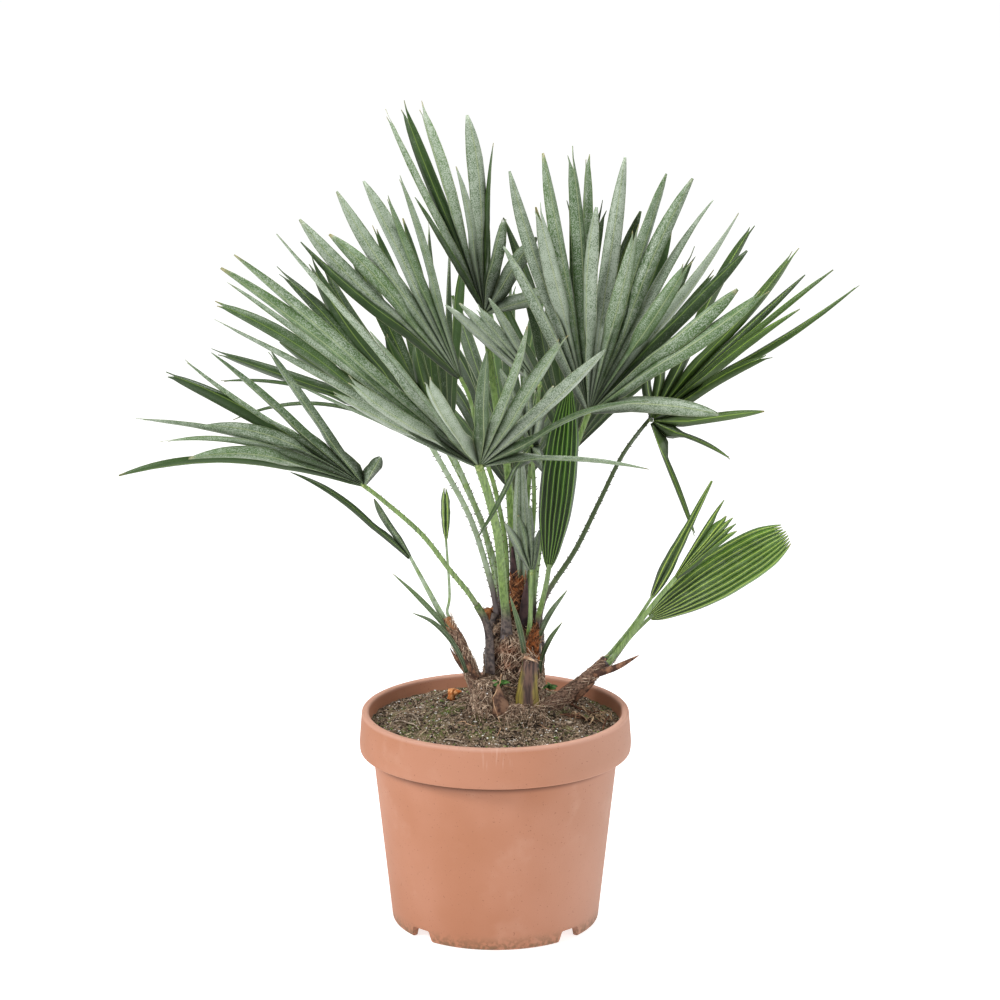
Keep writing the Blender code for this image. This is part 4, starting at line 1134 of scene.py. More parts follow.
bm = bmesh.new()
sheath(bm, [(0.0265, 0.000, TRUNK_TOP - 0.002), (0.0262, -0.002, 0.345), (0.0245, -0.003, 0.375),
            (0.0236, -0.002, 0.391)], 18,
       lambda t: 0.0090 - 0.0018 * t, lambda t: 0.0080 - 0.0022 * t, 30, torn_top(0.016, 2.0))
sheath(bm, [(0.0396, -0.0275, 0.305), (0.0412, -0.0268, 0.325), (0.0430, -0.0245, 0.3465)], 14,
       lambda t: 0.0092 - 0.0050 * t, lambda t: 0.0042 - 0.0016 * t, 24, torn_top(0.007, 6.0))
rust_net, tree, shader, place = finish_of("rusty_sheath", 0.9, 0.2)
lay = mottled(tree, place, 170.0, 0.38, 0.62, 5.0)
height = split_axes(tree, place)[2]
old_part = calc(tree, "ADD", rise(tree, height, 0.368, 0.382), rise(tree, height, 0.346, 0.336))
dark = tint(tree, lay, shade_of(30, 21, 18), shade_of(82, 54, 38))
rust = tint(tree, lay, shade_of(64, 36, 22), shade_of(168, 98, 54))
paint(tree, shader, tint(tree, old_part, dark, rust), lay, 0.8, 0.0015)
made_piece("rusty_sheath", bm, [rust_net], "trunk_fibre", 50)

bm = bmesh.new()
sheath(bm, [(0.0310, -0.0120, TRUNK_TOP + 0.014), (0.0316, -0.0125, 0.354), (0.0328, -0.0120, 0.374),
            (0.0350, -0.0100, 0.393)], 18,
       lambda t: 0.0056 * (1 - t ** 2.0) + 0.0005, lambda t: 0.0042 * (1 - t ** 2.2) + 0.0004, 16)
sheath(bm, [(0.0215, -0.001, 0.380), (0.0205, 0.0, 0.400), (0.0185, 0.002, 0.426)], 12,
       lambda t: 0.0058 - 0.0046 * t, lambda t: 0.0040 - 0.0030 * t, 16)
made_piece("young_sheaths", bm, [purple_sheath], "leaf_base", 50)

NET_FOOT = 0.345
net = []
for _ in range(330):
    turn = luck.uniform(0, math.tau)
    z = luck.uniform(NET_FOOT, 0.396)
    lean = luck.choice((-1, 1)) * luck.uniform(0.5, 1.2)
    length = luck.uniform(0.006, 0.016)
    r = 0.0100 - 0.0012 * (z - NET_FOOT) / 0.05
    line = []
    for step in range(5):
        t = step / 4
        spin = turn + math.cos(lean) * length * t / 0.009
        line.append(Vector((0.0248 + r * math.cos(spin) + luck.uniform(-0.0003, 0.0003),
                            -0.002 + r * 0.86 * math.sin(spin), z + math.sin(lean) * length * t)))
    net.append(line)
for _ in range(170):
    t, a = luck.random(), luck.uniform(-1, 1)
    bulge = 0.0044 * (1 - 0.35 * t) * math.sqrt(1 - a * a)
    start = Vector((0.0396 + 0.0034 * t + a * (0.0094 - 0.0052 * t),
                    -0.0272 + 0.0028 * t - bulge, 0.306 + 0.041 * t))
    heading = Vector((luck.uniform(-0.9, 0.9), -0.05, luck.choice((-1, 1))))
    net.append(wandering(start, heading, luck.uniform(0.004, 0.011), 0.5))
rust_tones = [speckled("rusty_fibre", (104, 68, 46), (172, 120, 82), 200.0),
              speckled("dark_rust_fibre", (60, 38, 26), (98, 62, 40), 200.0)]
strands("rusty_net", rust_tones, net, 0.00042, "trunk_fibre")

# ---------------------------------------------------------------- Leaves
# Each leaf is a fan of stiff folded segments that share a pleated web round the end
# of the stalk. The outer face carries a speckled silver wax, the inner face is
# darker and greener; every segment has a pale rib, fine veins and a split dry tip.
vein_lines = bpy.data.node_groups.new("vein_lines", "ShaderNodeTree")
for name in ("Across", "Count"):
    vein_lines.interface.new_socket(name, in_out="INPUT", socket_type="NodeSocketFloat")
for name in ("Rib", "Margin", "Veins", "Away"):
    vein_lines.interface.new_socket(name, in_out="OUTPUT", socket_type="NodeSocketFloat")
inlet = vein_lines.nodes.new("NodeGroupInput").outputs
outlet = vein_lines.nodes.new("NodeGroupOutput").inputs
from_rib = calc(vein_lines, "ABSOLUTE", calc(vein_lines, "SUBTRACT", inlet["Across"], 0.5))
put(vein_lines, outlet["Rib"], rise(vein_lines, from_rib, 0.052, 0.014))
put(vein_lines, outlet["Margin"], rise(vein_lines, from_rib, 0.462, 0.494))
put(vein_lines, outlet["Away"], from_rib)
wave = calc(vein_lines, "SINE", times(vein_lines, inlet["Across"], inlet["Count"]))
put(vein_lines, outlet["Veins"], rise(vein_lines, wave, -0.8, 0.9))


def leaf_finish(name, deep, fresh, wax, rib, wax_lift, rib_share, roughness, margin=0.40, ridge=0.0):
    """A leaf face: green, veined, under more or less speckled wax, with painted shade towards the hub."""
    mat, tree, shader, place = finish_of(name, roughness, 0.4)
    traits = tree.nodes.new("ShaderNodeAttribute")
    traits.attribute_name = "grown"
    wax_share, along, bright = split_axes(tree, traits.outputs["Vector"])
    cut_map = tree.nodes.new("ShaderNodeUVMap")
    cut_map.uv_map = "strip"
    across, metres, _ = split_axes(tree, cut_map.outputs[0])
    veins = tree.nodes.new("ShaderNodeGroup")
    veins.node_tree = vein_lines
    put(tree, veins.inputs["Across"], across)
    veins.inputs["Count"].default_value = 110.0
    clouds = mottled(tree, place, 45.0, 0.3, 0.7)
    lightness = calc(tree, "ADD", times(tree, bright, 0.75), times(tree, clouds, 0.25))
    skin = tint(tree, lightness, shade_of(*deep), shade_of(*fresh))
    skin = tint(tree, times(tree, veins.outputs["Veins"], 0.22), skin, shade_of(*fresh))
    on_strip = tree.nodes.new("ShaderNodeCombineXYZ")
    for socket, given, scale in zip(on_strip.inputs, (across, metres, bright), (0.018, 0.40, 3.0)):
        put(tree, socket, times(tree, given, scale))
    fine = mottled(tree, on_strip.outputs[0], 1650.0, 0.28, 0.72, 2.0)
    broad = mottled(tree, place, 80.0, 0.25, 0.75)
    speck = calc(tree, "ADD", times(tree, fine, 0.76), times(tree, broad, 0.24))
    away = veins.outputs["Away"]
    rubbed = times(tree, calc(tree, "ADD", rise(tree, away, 0.11, 0.03), rise(tree, away, 0.40, 0.47)), 0.16)
    bare = calc(tree, "ADD", calc(tree, "SUBTRACT", 1.0, calc(tree, "ADD", wax_share, wax_lift)), rubbed)
    coat = rise(tree, speck, calc(tree, "SUBTRACT", bare, 0.36), calc(tree, "ADD", bare, 0.34))
    skin = tint(tree, times(tree, coat, 0.88), skin, shade_of(*wax))
    # Painted shade: each segment is painted darker and greyer over its first 17 cm from the hub.
    skin = tint(tree, times(tree, rise(tree, metres, 0.17, 0.0), 0.42), skin, shade_of(58, 68, 46))
    # Painted shade: the folds between the ribs are painted nearly black within about 10 cm of the hub.
    hub_valley_shade = times(tree, rise(tree, metres, 0.105, 0.0), rise(tree, away, 0.10, 0.42), 0.85)
    skin = tint(tree, hub_valley_shade, skin, shade_of(24, 34, 20))
    if ridge:
        skin = tint(tree, times(tree, rise(tree, away, 0.13, 0.04), ridge), skin, shade_of(*rib))
    skin = tint(tree, times(tree, veins.outputs["Rib"], rib_share), skin, shade_of(*rib))
    skin = tint(tree, times(tree, veins.outputs["Margin"], margin), skin, shade_of(166, 172, 130))
    dry = times(tree, rise(tree, along, 0.955, 0.995), mottled(tree, place, 180.0, 0.25, 0.55))
    skin = tint(tree, times(tree, dry, rise(tree, bright, 0.3, 0.9), 0.65), skin, shade_of(150, 134, 88))
    height = calc(tree, "ADD", veins.outputs["Veins"], times(tree, coat, 0.5))
    paint(tree, shader, skin, height, 0.25, 0.0004)
    return mat


silver_face = leaf_finish("silver_face", (38, 64, 30), (78, 108, 54), (168, 179, 162), (166, 176, 130),
                          wax_lift=0.0, rib_share=0.50, roughness=0.36)
green_face = leaf_finish("green_face", (24, 42, 14), (60, 88, 38), (138, 150, 130), (126, 150, 72),
                         wax_lift=-0.38, rib_share=0.50, roughness=0.32)
fresh_face = leaf_finish("fresh_face", (26, 48, 12), (76, 104, 40), (140, 158, 128), (142, 174, 68),
                         wax_lift=-0.55, rib_share=0.75, roughness=0.30)
pleat_face = leaf_finish("pleat_face", (10, 24, 5), (48, 84, 22), (134, 156, 122), (122, 162, 58),
                         wax_lift=-0.60, rib_share=0.80, roughness=0.30, margin=0.12, ridge=0.34)
open_pleats = leaf_finish("open_pleats", (46, 76, 20), (94, 132, 46), (168, 182, 152), (182, 204, 92),
                          wax_lift=-0.16, rib_share=0.90, roughness=0.34, margin=0.15, ridge=0.36)

# how far the fans' planes lean back, and the share from which a segment is free
LEAN = math.radians(13)
FREE_FROM = 0.34
LEAF_THICKNESS = 0.00045
HUB_START = 0.0035


def layout_plane(turn):
    """Right, up and outward of the plane that a fan is laid out in."""
    a = math.radians(turn)
    level = Vector((math.sin(a), -math.cos(a), 0))
    right = Vector((math.cos(a), math.sin(a), 0))
    up = Vector((0, 0, math.cos(LEAN))) - level * math.sin(LEAN)
    return right, up, Vector((0, 0, math.sin(LEAN))) + level * math.cos(LEAN)


class Segment:
    """One leaf segment: its midline from the hub, and how it sways, droops and rolls.

    It lies at an angle in the fan's plane, reaches out in it and forward from it, and
    its middle is lifted by bow. A fullness of 1 is the fan's own segment width.
    """

    def __init__(self, hub, plane, angle, reach, forward, bow, fullness=1.0, inside_out=False):
        a = math.radians(angle)
        right, up, out = plane
        self.fullness, self.inside_out = fullness, inside_out
        self.hub = hub
        self.run = (right * math.cos(a) + up * math.sin(a)) * reach + out * forward
        self.length = self.run.length
        self.own = self.run.normalized()
        self.bow = bow
        self.sway = luck.uniform(-1, 1) * 0.030 * self.length
        self.droop = luck.uniform(-0.25, 1.0) * 0.020 * self.length
        self.roll = math.radians(luck.uniform(-42, 42))
        self.fold = luck.uniform(0.40, 0.85)
        self.belly = luck.uniform(0.50, 0.62)
        self.split = luck.choice((1.0, 1.0, 0.95, 0.90)) if self.length > 0.1 else 1.0

    def plain(self, share):
        """A place on the midline before it sways and droops."""
        return self.hub + self.run * share + Vector((0, 0, 4 * self.bow * share * (1 - share)))

    def near(self, distance):
        """The place at a distance from the hub, or the tip."""
        return self.plain(min(distance / self.length, 1.0))


def freed(share):
    """How far a place is into the part of a segment that is free of its neighbours."""
    return max(0.0, (share - FREE_FROM) / (1 - FREE_FROM))


def full(share, belly):
    """Width of a segment at a share of its length, against its widest place."""
    if share < belly:
        return 0.50 + 0.50 * math.sin(math.pi / 2 * share / belly)
    rest = (share - belly) / (1 - belly)
    return 1 - 0.86 * rest ** 2.9


def new_leaf():
    """An empty leaf, its layer for each vertex's looks and its map along the strips."""
    bm = bmesh.new()
    return bm, bm.verts.layers.float_vector.new("grown"), bm.loops.layers.uv.new("strip")


def laid_grid(bm, grown, strip_map, columns, rows, length, traits, split, shape):
    """A grid laid out by shape(u, t, side): u across from -1 to 1, t along from 0 to 1.

    Beyond the share split, its middle is slit and each side goes its own way.
    """
    first_vert, first_face = len(bm.verts), len(bm.faces)
    bmesh.ops.create_grid(bm, x_segments=columns, y_segments=rows, size=1.0)
    bm.verts.ensure_lookup_table()
    if split < 1:
        slit = {v for v in bm.verts[first_vert:] if abs(v.co.x) < 1e-4 and (v.co.y + 1) / 2 > split - 1e-4}
        middle = [e for e in bm.edges if e.verts[0] in slit and e.verts[1] in slit]
        bmesh.ops.split_edges(bm, edges=middle)
    bm.verts.ensure_lookup_table()
    bm.faces.ensure_lookup_table()
    places = {}
    for vert in bm.verts[first_vert:]:
        beside = sum(f.calc_center_median().x for f in vert.link_faces)
        places[vert] = (vert.co.x, (vert.co.y + 1) / 2, 1 if beside > 1e-5 else -1 if beside < -1e-5 else 0)
    for face in bm.faces[first_face:]:
        for loop in face.loops:
            u, t, side = places[loop.vert]
            loop[strip_map].uv = ((u + 1) / 2, t * length)
    for vert, (u, t, side) in places.items():
        vert.co = shape(u, t, side)
        vert[grown] = Vector((traits[0], t, traits[1]))
    return bm.faces[first_face:]


def fan_leaf(name, hub, strips, width, turn, faces, wax_range, replaced, web=0.4, slot="silver_leaf"):
    """A whole fan of segments, as one piece, joined by a web over about the share web."""
    hub = Vector(hub)
    plane = layout_plane(turn)
    lines = [Segment(hub, plane, *entry) for entry in sorted(strips)]
    count = len(lines)
    # how far from the hub each pair of neighbours stays joined by the web
    notch = []
    for low, high in zip(lines, lines[1:]):
        gap = max(low.run.angle(high.run), 0.01)
        notch.append(max(min(web * min(low.length, high.length), max(width / gap, 0.028)), 0.021))
    bm, grown, strip_map = new_leaf()
    for i, line in enumerate(lines):
        toward = lines[max(i - 1, 0)].own - lines[min(i + 1, count - 1)].own
        own = line.own
        side = (toward - own * toward.dot(own)).normalized()
        if side.dot(own.cross(plane[2])) < 0:
            side = -side
        face = side.cross(own)
        seed = luck.uniform(0, 100)

        def half_width(share, sign):
            """Half the width at a place, less where a neighbour is near or there is none."""
            half = width / 2 * line.fullness * full(share, line.belly)
            other = i - sign
            if 0 <= other < count and share > 0.3:
                spacing = (line.near(share * line.length) - lines[other].near(share * line.length)).length
                half = min(half, max(spacing * 0.80, 0.0030))
            if not 0 <= other < count:
                half = min(half, 0.0012 + 0.20 * share * line.length)
            return half

        def rim(share, sign):
            """An edge's place: on the shared web first, then free."""
            distance = share * line.length
            loose = freed(share)
            turned_by = line.roll * loose ** 1.5
            across = side * math.cos(turned_by) + face * math.sin(turned_by)
            own_edge = middle(share) + across * sign * half_width(share, sign)
            other = i - sign
            if not 0 <= other < count:
                return own_edge
            reach = notch[min(i, other)]
            shared = (line.near(distance) + lines[other].near(distance)) / 2
            if distance <= reach:
                return shared
            blend = min((distance - reach) / (0.14 * line.length), 1.0)
            return shared.lerp(own_edge, blend * blend * (3 - 2 * blend))

        def middle(share):
            """The midline's place, swayed to the side and drooping."""
            loose = freed(share)
            sway = side * line.sway * 4 * loose * (1 - loose)
            return line.plain(share) + sway - Vector((0, 0, line.droop * loose ** 2.5))

        def shape(u, t, slit):
            """A grid point's place: a roof over the midline, and a fork beyond the split."""
            share = HUB_START / line.length + (1 - HUB_START / line.length) * t
            rib = middle(share)
            sign = 1 if u > 0 else -1
            edge = rim(share, sign)
            span = (edge - rib).length
            crease = 0.98 - (0.98 - line.fold) * min(share / 0.55, 1)
            ridge = face * span * crease
            if t > line.split and (slit or abs(u) > 1e-4):
                sign = slit if slit else sign
                edge = rim(share, sign)
                q = (t - line.split) / (1 - line.split)
                end = 1 - 0.36 * (1 - line.split) if sign < 0 else 1.0
                tip = half_width(line.split, sign) * (0.42 + 0.30 * q)
                outer = (edge - rib).length * (1 - q) + (tip + 0.0004) * q
                inner = (tip - 0.0004) * q
                rib = middle(share * (1 - (1 - end) * q))
                across = edge - middle(share)
                across = across.normalized() if across.length > 1e-6 else side * sign
                return rib + across * (inner + (outer - inner) * abs(u)) + ridge * (1 - abs(u)) * (1 - q)
            bulge = face * span * 0.10 * 4 * abs(u) * (1 - abs(u))
            ripple = noise.noise(Vector((u * 1.5, share * 14, seed))) * 0.0005 * min(1, share * 5)
            return rib.lerp(edge, abs(u)) + ridge * (1 - abs(u)) + bulge + face * ripple

        traits = (luck.uniform(*wax_range), luck.random())
        sheet = laid_grid(bm, grown, strip_map, 4, 22, line.length, traits, line.split, shape)
        if line.inside_out:
            bmesh.ops.reverse_faces(bm, faces=sheet)
    piece = made_piece("palm_leaf_" + name, bm, faces, slot, 75)
    thin_sheet(piece, LEAF_THICKNESS, 1)
    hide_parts(replaced)


# each fan: its segments' width, the turn of its plane, and for each segment the angle,
# reach, lean forward, bow, fullness and whether its inner face is turned out
FANS = {
    "front": (0.017, 0, [
        (0, 0.178, 0.05, 0.011, 0.34), (22, 0.19, 0.08, 0.008, 0.40), (43, 0.178, 0.11, 0),
        (57, 0.163, 0.14, 0), (71, 0.152, 0.16, 0, 0.85), (86, 0.12, 0.18, 0), (120, 0.104, 0.17, 0),
        (128, 0.18, 0.15, 0, 0.9), (131, 0.315, 0.12, 0, 0.95), (139, 0.335, 0.09, 0, 0.95),
        (142, 0.34, 0.075, 0), (144, 0.325, 0.055, 0), (146, 0.165, 0.09, 0), (150, 0.322, 0.03, 0),
        (153, 0.172, 0.05, 0), (155, 0.22, 0.01, 0, 0.5)]),
    "mid_left": (0.015, 0, [
        (178, 0.205, -0.02, 0.018, 0.28, True), (166, 0.225, -0.02, 0.010, 0.28, True),
        (159, 0.245, -0.02, 0.004, 0.9, True), (148, 0.265, -0.01, 0, 1.05, True), (140, 0.24, 0.0, 0),
        (132, 0.235, 0.0, 0, 0.9, True), (123, 0.222, 0.0, 0, 1.2, True)]),
    "mid_back": (0.014, 0, [
        (150, 0.20, -0.01, 0), (142, 0.22, -0.01, 0), (133, 0.21, 0.0, 0), (118, 0.12, 0.0, 0),
        (104, 0.10, 0.0, 0)]),
    "right_top": (0.019, 0, [
        (-1, 0.14, 0.05, 0.012), (35, 0.235, 0.055, 0), (40, 0.21, 0.045, 0), (46, 0.25, 0.01, 0, 1.0, True),
        (53, 0.275, -0.01, 0), (57, 0.20, 0.04, 0), (60, 0.275, 0.0, 0), (66, 0.28, 0.01, 0),
        (72, 0.275, 0.01, 0), (76, 0.21, 0.05, 0), (82, 0.285, 0.02, 0), (88, 0.222, 0.05, 0),
        (90, 0.285, -0.02, 0), (94, 0.295, 0.0, 0), (100, 0.288, 0.01, 0), (104, 0.235, 0.03, 0),
        (108, 0.28, 0.02, 0, 0.85), (117, 0.205, 0.04, 0, 0.85)]),
    "left_top": (0.018, 0, [
        (107, 0.23, 0.03, 0, 0.55), (112, 0.215, 0.02, 0, 0.75), (116, 0.243, 0.01, 0), (123, 0.25, 0.0, 0),
        (132, 0.215, 0.01, 0), (135, 0.25, 0.0, 0), (139, 0.232, 0.01, 0, 0.8, True)]),
    "back_tall": (0.019, 0, [
        (19, 0.10, 0.05, 0), (55, 0.10, 0.06, 0), (78, 0.105, 0.05, 0), (87, 0.19, 0.0, 0, 0.7, True),
        (95, 0.225, 0.0, 0, 1.1), (101, 0.165, 0.03, 0, 0.5), (107, 0.25, 0.0, 0),
        (111, 0.26, -0.01, 0, 0.8, True), (116, 0.255, 0.0, 0, 0.75), (121, 0.15, 0.03, 0, 0.7, True)]),
    "right_low": (0.0128, 0, [
        (-69, 0.134, 0.02, 0, 0.5), (-26, 0.096, 0.03, 0, 0.42), (5, 0.124, 0.03, -0.006, 0.8),
        (29, 0.15, 0.035, 0), (33, 0.275, 0.0, 0), (37, 0.205, 0.02, 0), (40, 0.268, -0.03, 0),
        (43, 0.24, -0.05, 0), (50, 0.262, -0.06, 0), (62, 0.252, -0.06, 0), (78, 0.13, -0.02, 0),
        (95, 0.06, 0.0, 0)]),
    "left_low": (0.0145, 0, [
        (60, 0.037, 0.02, 0), (124, 0.18, 0.06, 0, 0.75), (138, 0.215, 0.05, 0, 0.75),
        (144, 0.235, 0.03, 0, 0.6), (150, 0.245, 0.02, 0.005, 1.1, True), (159, 0.18, 0.05, 0.015),
        (163, 0.255, 0.02, 0.017, 0.8), (167, 0.222, 0.03, 0.018), (170, 0.187, 0.05, 0.012),
        (177, 0.262, 0.02, 0.02, 0.8, True)]),
    "edge_on": (0.013, 0, [
        (120, 0.11, 0.015, 0), (128, 0.112, 0.005, 0), (134, 0.125, 0.0, 0), (139, 0.135, -0.005, 0)]),
    "centre": (0.011, 0, [
        (-121, 0.112, 0.08, 0.006, 0.5, True), (-62, 0.033, 0.01, 0), (70, 0.07, 0.0, 0), (95, 0.085, 0.0, 0),
        (112, 0.09, 0.01, 0)]),
    "young": (0.011, 0, [
        (118, 0.062, 0.0, 0.004), (103, 0.066, 0.005, 0, 0.8), (91, 0.074, 0.0, 0, 0.8),
        (80, 0.048, 0.0, 0, 0.7)]),
    "back_right": (0.019, 172, [
        (66, 0.26, 0.06, 0), (74, 0.275, 0.06, 0), (82, 0.28, 0.06, 0), (90, 0.285, 0.06, 0),
        (98, 0.285, 0.06, 0), (106, 0.28, 0.07, 0), (114, 0.27, 0.08, 0), (122, 0.26, 0.09, 0),
        (130, 0.245, 0.10, 0, 0.7), (139, 0.22, 0.11, 0, 0.45)]),
    "back_left": (0.018, 196, [
        (38, 0.18, 0.12, 0), (47, 0.20, 0.12, 0), (56, 0.22, 0.13, 0), (65, 0.23, 0.13, 0),
        (74, 0.235, 0.14, 0), (83, 0.235, 0.15, 0), (92, 0.22, 0.17, 0), (101, 0.20, 0.18, 0),
        (110, 0.17, 0.19, 0)]),
    "back_low": (0.017, 180, [
        (30, 0.14, 0.17, 0.01), (42, 0.16, 0.18, 0.01), (54, 0.17, 0.19, 0.01), (66, 0.18, 0.20, 0.01),
        (78, 0.18, 0.21, 0.01), (90, 0.18, 0.21, 0.01), (102, 0.18, 0.21, 0.01), (114, 0.18, 0.20, 0.01),
        (126, 0.17, 0.19, 0.01), (138, 0.15, 0.18, 0.01), (150, 0.13, 0.17, 0.01)]),
}
# the least and most wax on a fan's segments
FAN_WAX = {
    "front": (0.16, 0.68), "mid_left": (0.05, 0.66), "mid_back": (0.10, 0.45), "right_top": (0.26, 0.74),
    "left_top": (0.28, 0.68), "back_tall": (0.38, 0.76), "right_low": (0.05, 0.35), "left_low": (0.20, 0.64),
    "edge_on": (0.5, 0.8), "centre": (0.4, 0.7), "young": (0.35, 0.75), "back_right": (0.3, 0.6),
    "back_left": (0.3, 0.6), "back_low": (0.3, 0.6)}
# the faces that look outwards and inwards where they aren't silver outside and green inside
TURNED_FANS = {"mid_back": (green_face, silver_face), "right_low": (fresh_face, silver_face)}
for name, (width, turn, strips) in FANS.items():
    faces = TURNED_FANS.get(name, (silver_face, green_face))
    slot = "green_leaf" if name in TURNED_FANS else "silver_leaf"
    fan_leaf(name, STALKS[name][1][-1], strips, width, turn, faces, FAN_WAX[name], "fan_" + name, slot=slot)
fan_leaf("shoot_left", (-0.091, -0.020, 0.416), [
    (121, 0.080, 0.0, 0, 0.9), (144, 0.162, 0.02, 0.008, 0.9, True)],
    0.0085, 0, (silver_face, green_face), (0.10, 0.4), "fan_shoot_left", slot="green_leaf")
fan_leaf("shoot_right", (0.194, -0.030, 0.396), [
    (39, 0.088, 0.01, 0), (43, 0.093, 0.005, 0), (47, 0.095, 0.0, 0), (51, 0.092, -0.005, 0),
    (58, 0.106, -0.01, 0, 0.5)],
    0.0100, 0, (open_pleats, silver_face), (0.10, 0.45), "fan_shoot_right", web=0.8, slot="green_leaf")

# the knob where stalk and fan meet
hub_skin = speckled("leaf_hub", (104, 126, 66), (150, 162, 104), 300.0, 0.5)
bm = bmesh.new()
for name, (radii, points) in STALKS.items():
    if name in FANS:
        run = (Vector(points[-1]) - Vector(points[-2])).normalized()
        place = Matrix.Translation(points[-1]) @ run.to_track_quat("Z", "Y").to_matrix().to_4x4()
        round_knob = Matrix.Diagonal((radii[1] * 1.12, radii[1] * 0.95, radii[1] * 1.25, 1))
        bmesh.ops.create_uvsphere(bm, u_segments=14, v_segments=9, radius=1.0, matrix=place @ round_knob)
made_piece("leaf_hubs", bm, [hub_skin], "stalk", 60)

# ---------------------------------------------------------------- Unopened leaves
# Leaves that are still folded like a closed fan: deep sharp pleats side by side in one
# narrow blade, yellow-green along every rib, their tips not yet parted.


def folded_leaf(name, foot, tip, width, pleats, faces, wax_range, fold, belly=0.55, part=0.0,
                close=(0.90, 2.2)):
    """A pleated blade, widest at its belly, whose tips part over the last share.

    close says how much it narrows above the belly, and how late.
    """
    foot, tip = Vector(foot), Vector(tip)
    out = layout_plane(0)[2]
    run = tip - foot
    side = run.cross(out).normalized()
    face = side.cross(run).normalized()
    bm, grown, strip_map = new_leaf()
    gaps = [luck.uniform(0.0, 1.0) for _ in range(pleats)]
    tips = [luck.uniform(0.0, 1.0) for _ in range(pleats)]
    for p in range(pleats):
        centre = (2 * p + 1) / pleats - 1

        def shape(u, t, slit):
            reach = 1 - part * 0.35 * tips[p] * (abs(centre) * 0.6 + 0.4)
            share = t * reach
            if share < belly:
                swell = math.sin(math.pi * min(share / belly, 1) / 2) ** 0.75
            else:
                swell = 1 - close[0] * ((share - belly) / (1 - belly)) ** close[1]
            half = width / 2 * (0.14 + 0.86 * swell)
            free = max(0.0, (t - (1 - part)) / part) if part else 0.0
            own_half = half / pleats * (1 - 0.75 * free ** 1.5)
            across = centre * half * (1 + 0.10 * free * gaps[p]) + u * own_half
            curve = face * (-half * 0.45 * (across / max(half, 1e-6)) ** 2)
            ridge = face * (1 - abs(u)) * half / pleats * 2 * fold
            wobble = noise.noise(Vector(((centre + u / pleats) * 3, share * 9, width * 500))) * 0.0006
            return foot + run * share + side * (across + wobble) + curve + ridge

        traits = (luck.uniform(*wax_range), luck.random())
        laid_grid(bm, grown, strip_map, 4, 30, run.length, traits, 1.0, shape)
    for vert in bm.verts:
        vert[grown] = Vector((vert[grown].x, vert[grown].y * (1.0 if part else 0.94), vert[grown].z))
    bmesh.ops.remove_doubles(bm, verts=bm.verts, dist=0.00008)
    piece = made_piece("palm_leaf_" + name, bm, faces, "green_leaf", 60)
    thin_sheet(piece, LEAF_THICKNESS, 1)
    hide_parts("fan_" + name)


folded_leaf("folded", (0.058, -0.050, 0.4147), (0.0785, -0.049, 0.613), 0.038, 7, (pleat_face, pleat_face),
            (0.05, 0.28), fold=0.55, belly=0.45, close=(0.97, 2.6))
folded_leaf("spear", (0.029, 0.0, 0.3638), (0.0275, 0.002, 0.532), 0.018, 2, (silver_face, silver_face),
            (0.55, 0.75), fold=0.5, belly=0.4)
folded_leaf("sprout", (-0.0536, -0.022, 0.4388), (-0.0546, -0.022, 0.499), 0.010, 2,
            (open_pleats, open_pleats), (0.35, 0.6), fold=0.5, part=0.16)
folded_leaf("pleated", (0.1703, 0.0, 0.3459), (0.320, 0.002, 0.441), 0.052, 9, (open_pleats, silver_face),
            (0.10, 0.50), fold=0.35, part=0.05, close=(0.66, 3.2))
folded_leaf("narrow", (0.1705, -0.0105, 0.3698), (0.2355, -0.012, 0.503), 0.015, 2,
            (open_pleats, open_pleats), (0.1, 0.4), fold=0.5, belly=0.28, close=(0.97, 0.9))

# ---------------------------------------------------------------- Sword leaves
# The first leaves of the side shoots and the trunk's flank: single stiff blades
# folded along the middle, pale along their edges, with dry brown points.
SWORD_STEPS = 40
SWORD_THICKNESS = 0.0008
SWORD_BELLY = 0.55
SWORDS = {
    "right_high": (0.0070, [
        (0.0455, -0.0190, 0.305), (0.0475, -0.0205, 0.328), (0.0590, -0.0250, 0.3565),
        (0.0787, -0.0300, 0.3855)]),
    "right_low": (0.0062, [
        (0.0490, -0.0180, 0.288), (0.0510, -0.0200, 0.306), (0.0600, -0.0250, 0.329),
        (0.0733, -0.0300, 0.349)]),
    "front": (0.0068, [
        (0.0315, -0.0325, 0.296), (0.0310, -0.0345, 0.318), (0.0260, -0.0375, 0.346),
        (0.0161, -0.0400, 0.381)]),
    "left_high": (0.0066, [
        (-0.0345, -0.0355, 0.303), (-0.0425, -0.0325, 0.327), (-0.0580, -0.0290, 0.348),
        (-0.0850, -0.0290, 0.378), (-0.1120, -0.0300, 0.404)]),
    "left_low": (0.0062, [
        (-0.0315, -0.0385, 0.294), (-0.0385, -0.0370, 0.313), (-0.0518, -0.0335, 0.334),
        (-0.0700, -0.0330, 0.351), (-0.0910, -0.0340, 0.3605)]),
}
for name, (width, points) in SWORDS.items():
    route, length = smooth_route(points, SWORD_STEPS)
    places = frames_along(route, Vector((0, -1, 0.2)))
    bm, grown, strip_map = new_leaf()

    def shape(u, t, slit):
        if t < SWORD_BELLY:
            half = width / 2 * (0.62 + 0.38 * math.sin(math.pi * min(t / SWORD_BELLY, 1) / 2))
        else:
            half = width / 2 * (1 - 0.96 * ((t - SWORD_BELLY) / (1 - SWORD_BELLY)) ** 1.8)
        crease = 0.75 - 0.35 * t
        folded = Vector((u * half * (1 - 0.15 * abs(u)), -abs(u) * half * crease, 0))
        return places[round(t * SWORD_STEPS)] @ folded

    traits = (luck.uniform(0.15, 0.36), luck.random())
    laid_grid(bm, grown, strip_map, 4, 20, length, traits, 1.0, shape)
    piece = made_piece("sword_leaf_" + name, bm, (silver_face, green_face), "green_leaf", 75)
    thin_sheet(piece, SWORD_THICKNESS, 1)
    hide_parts("sword_" + name)

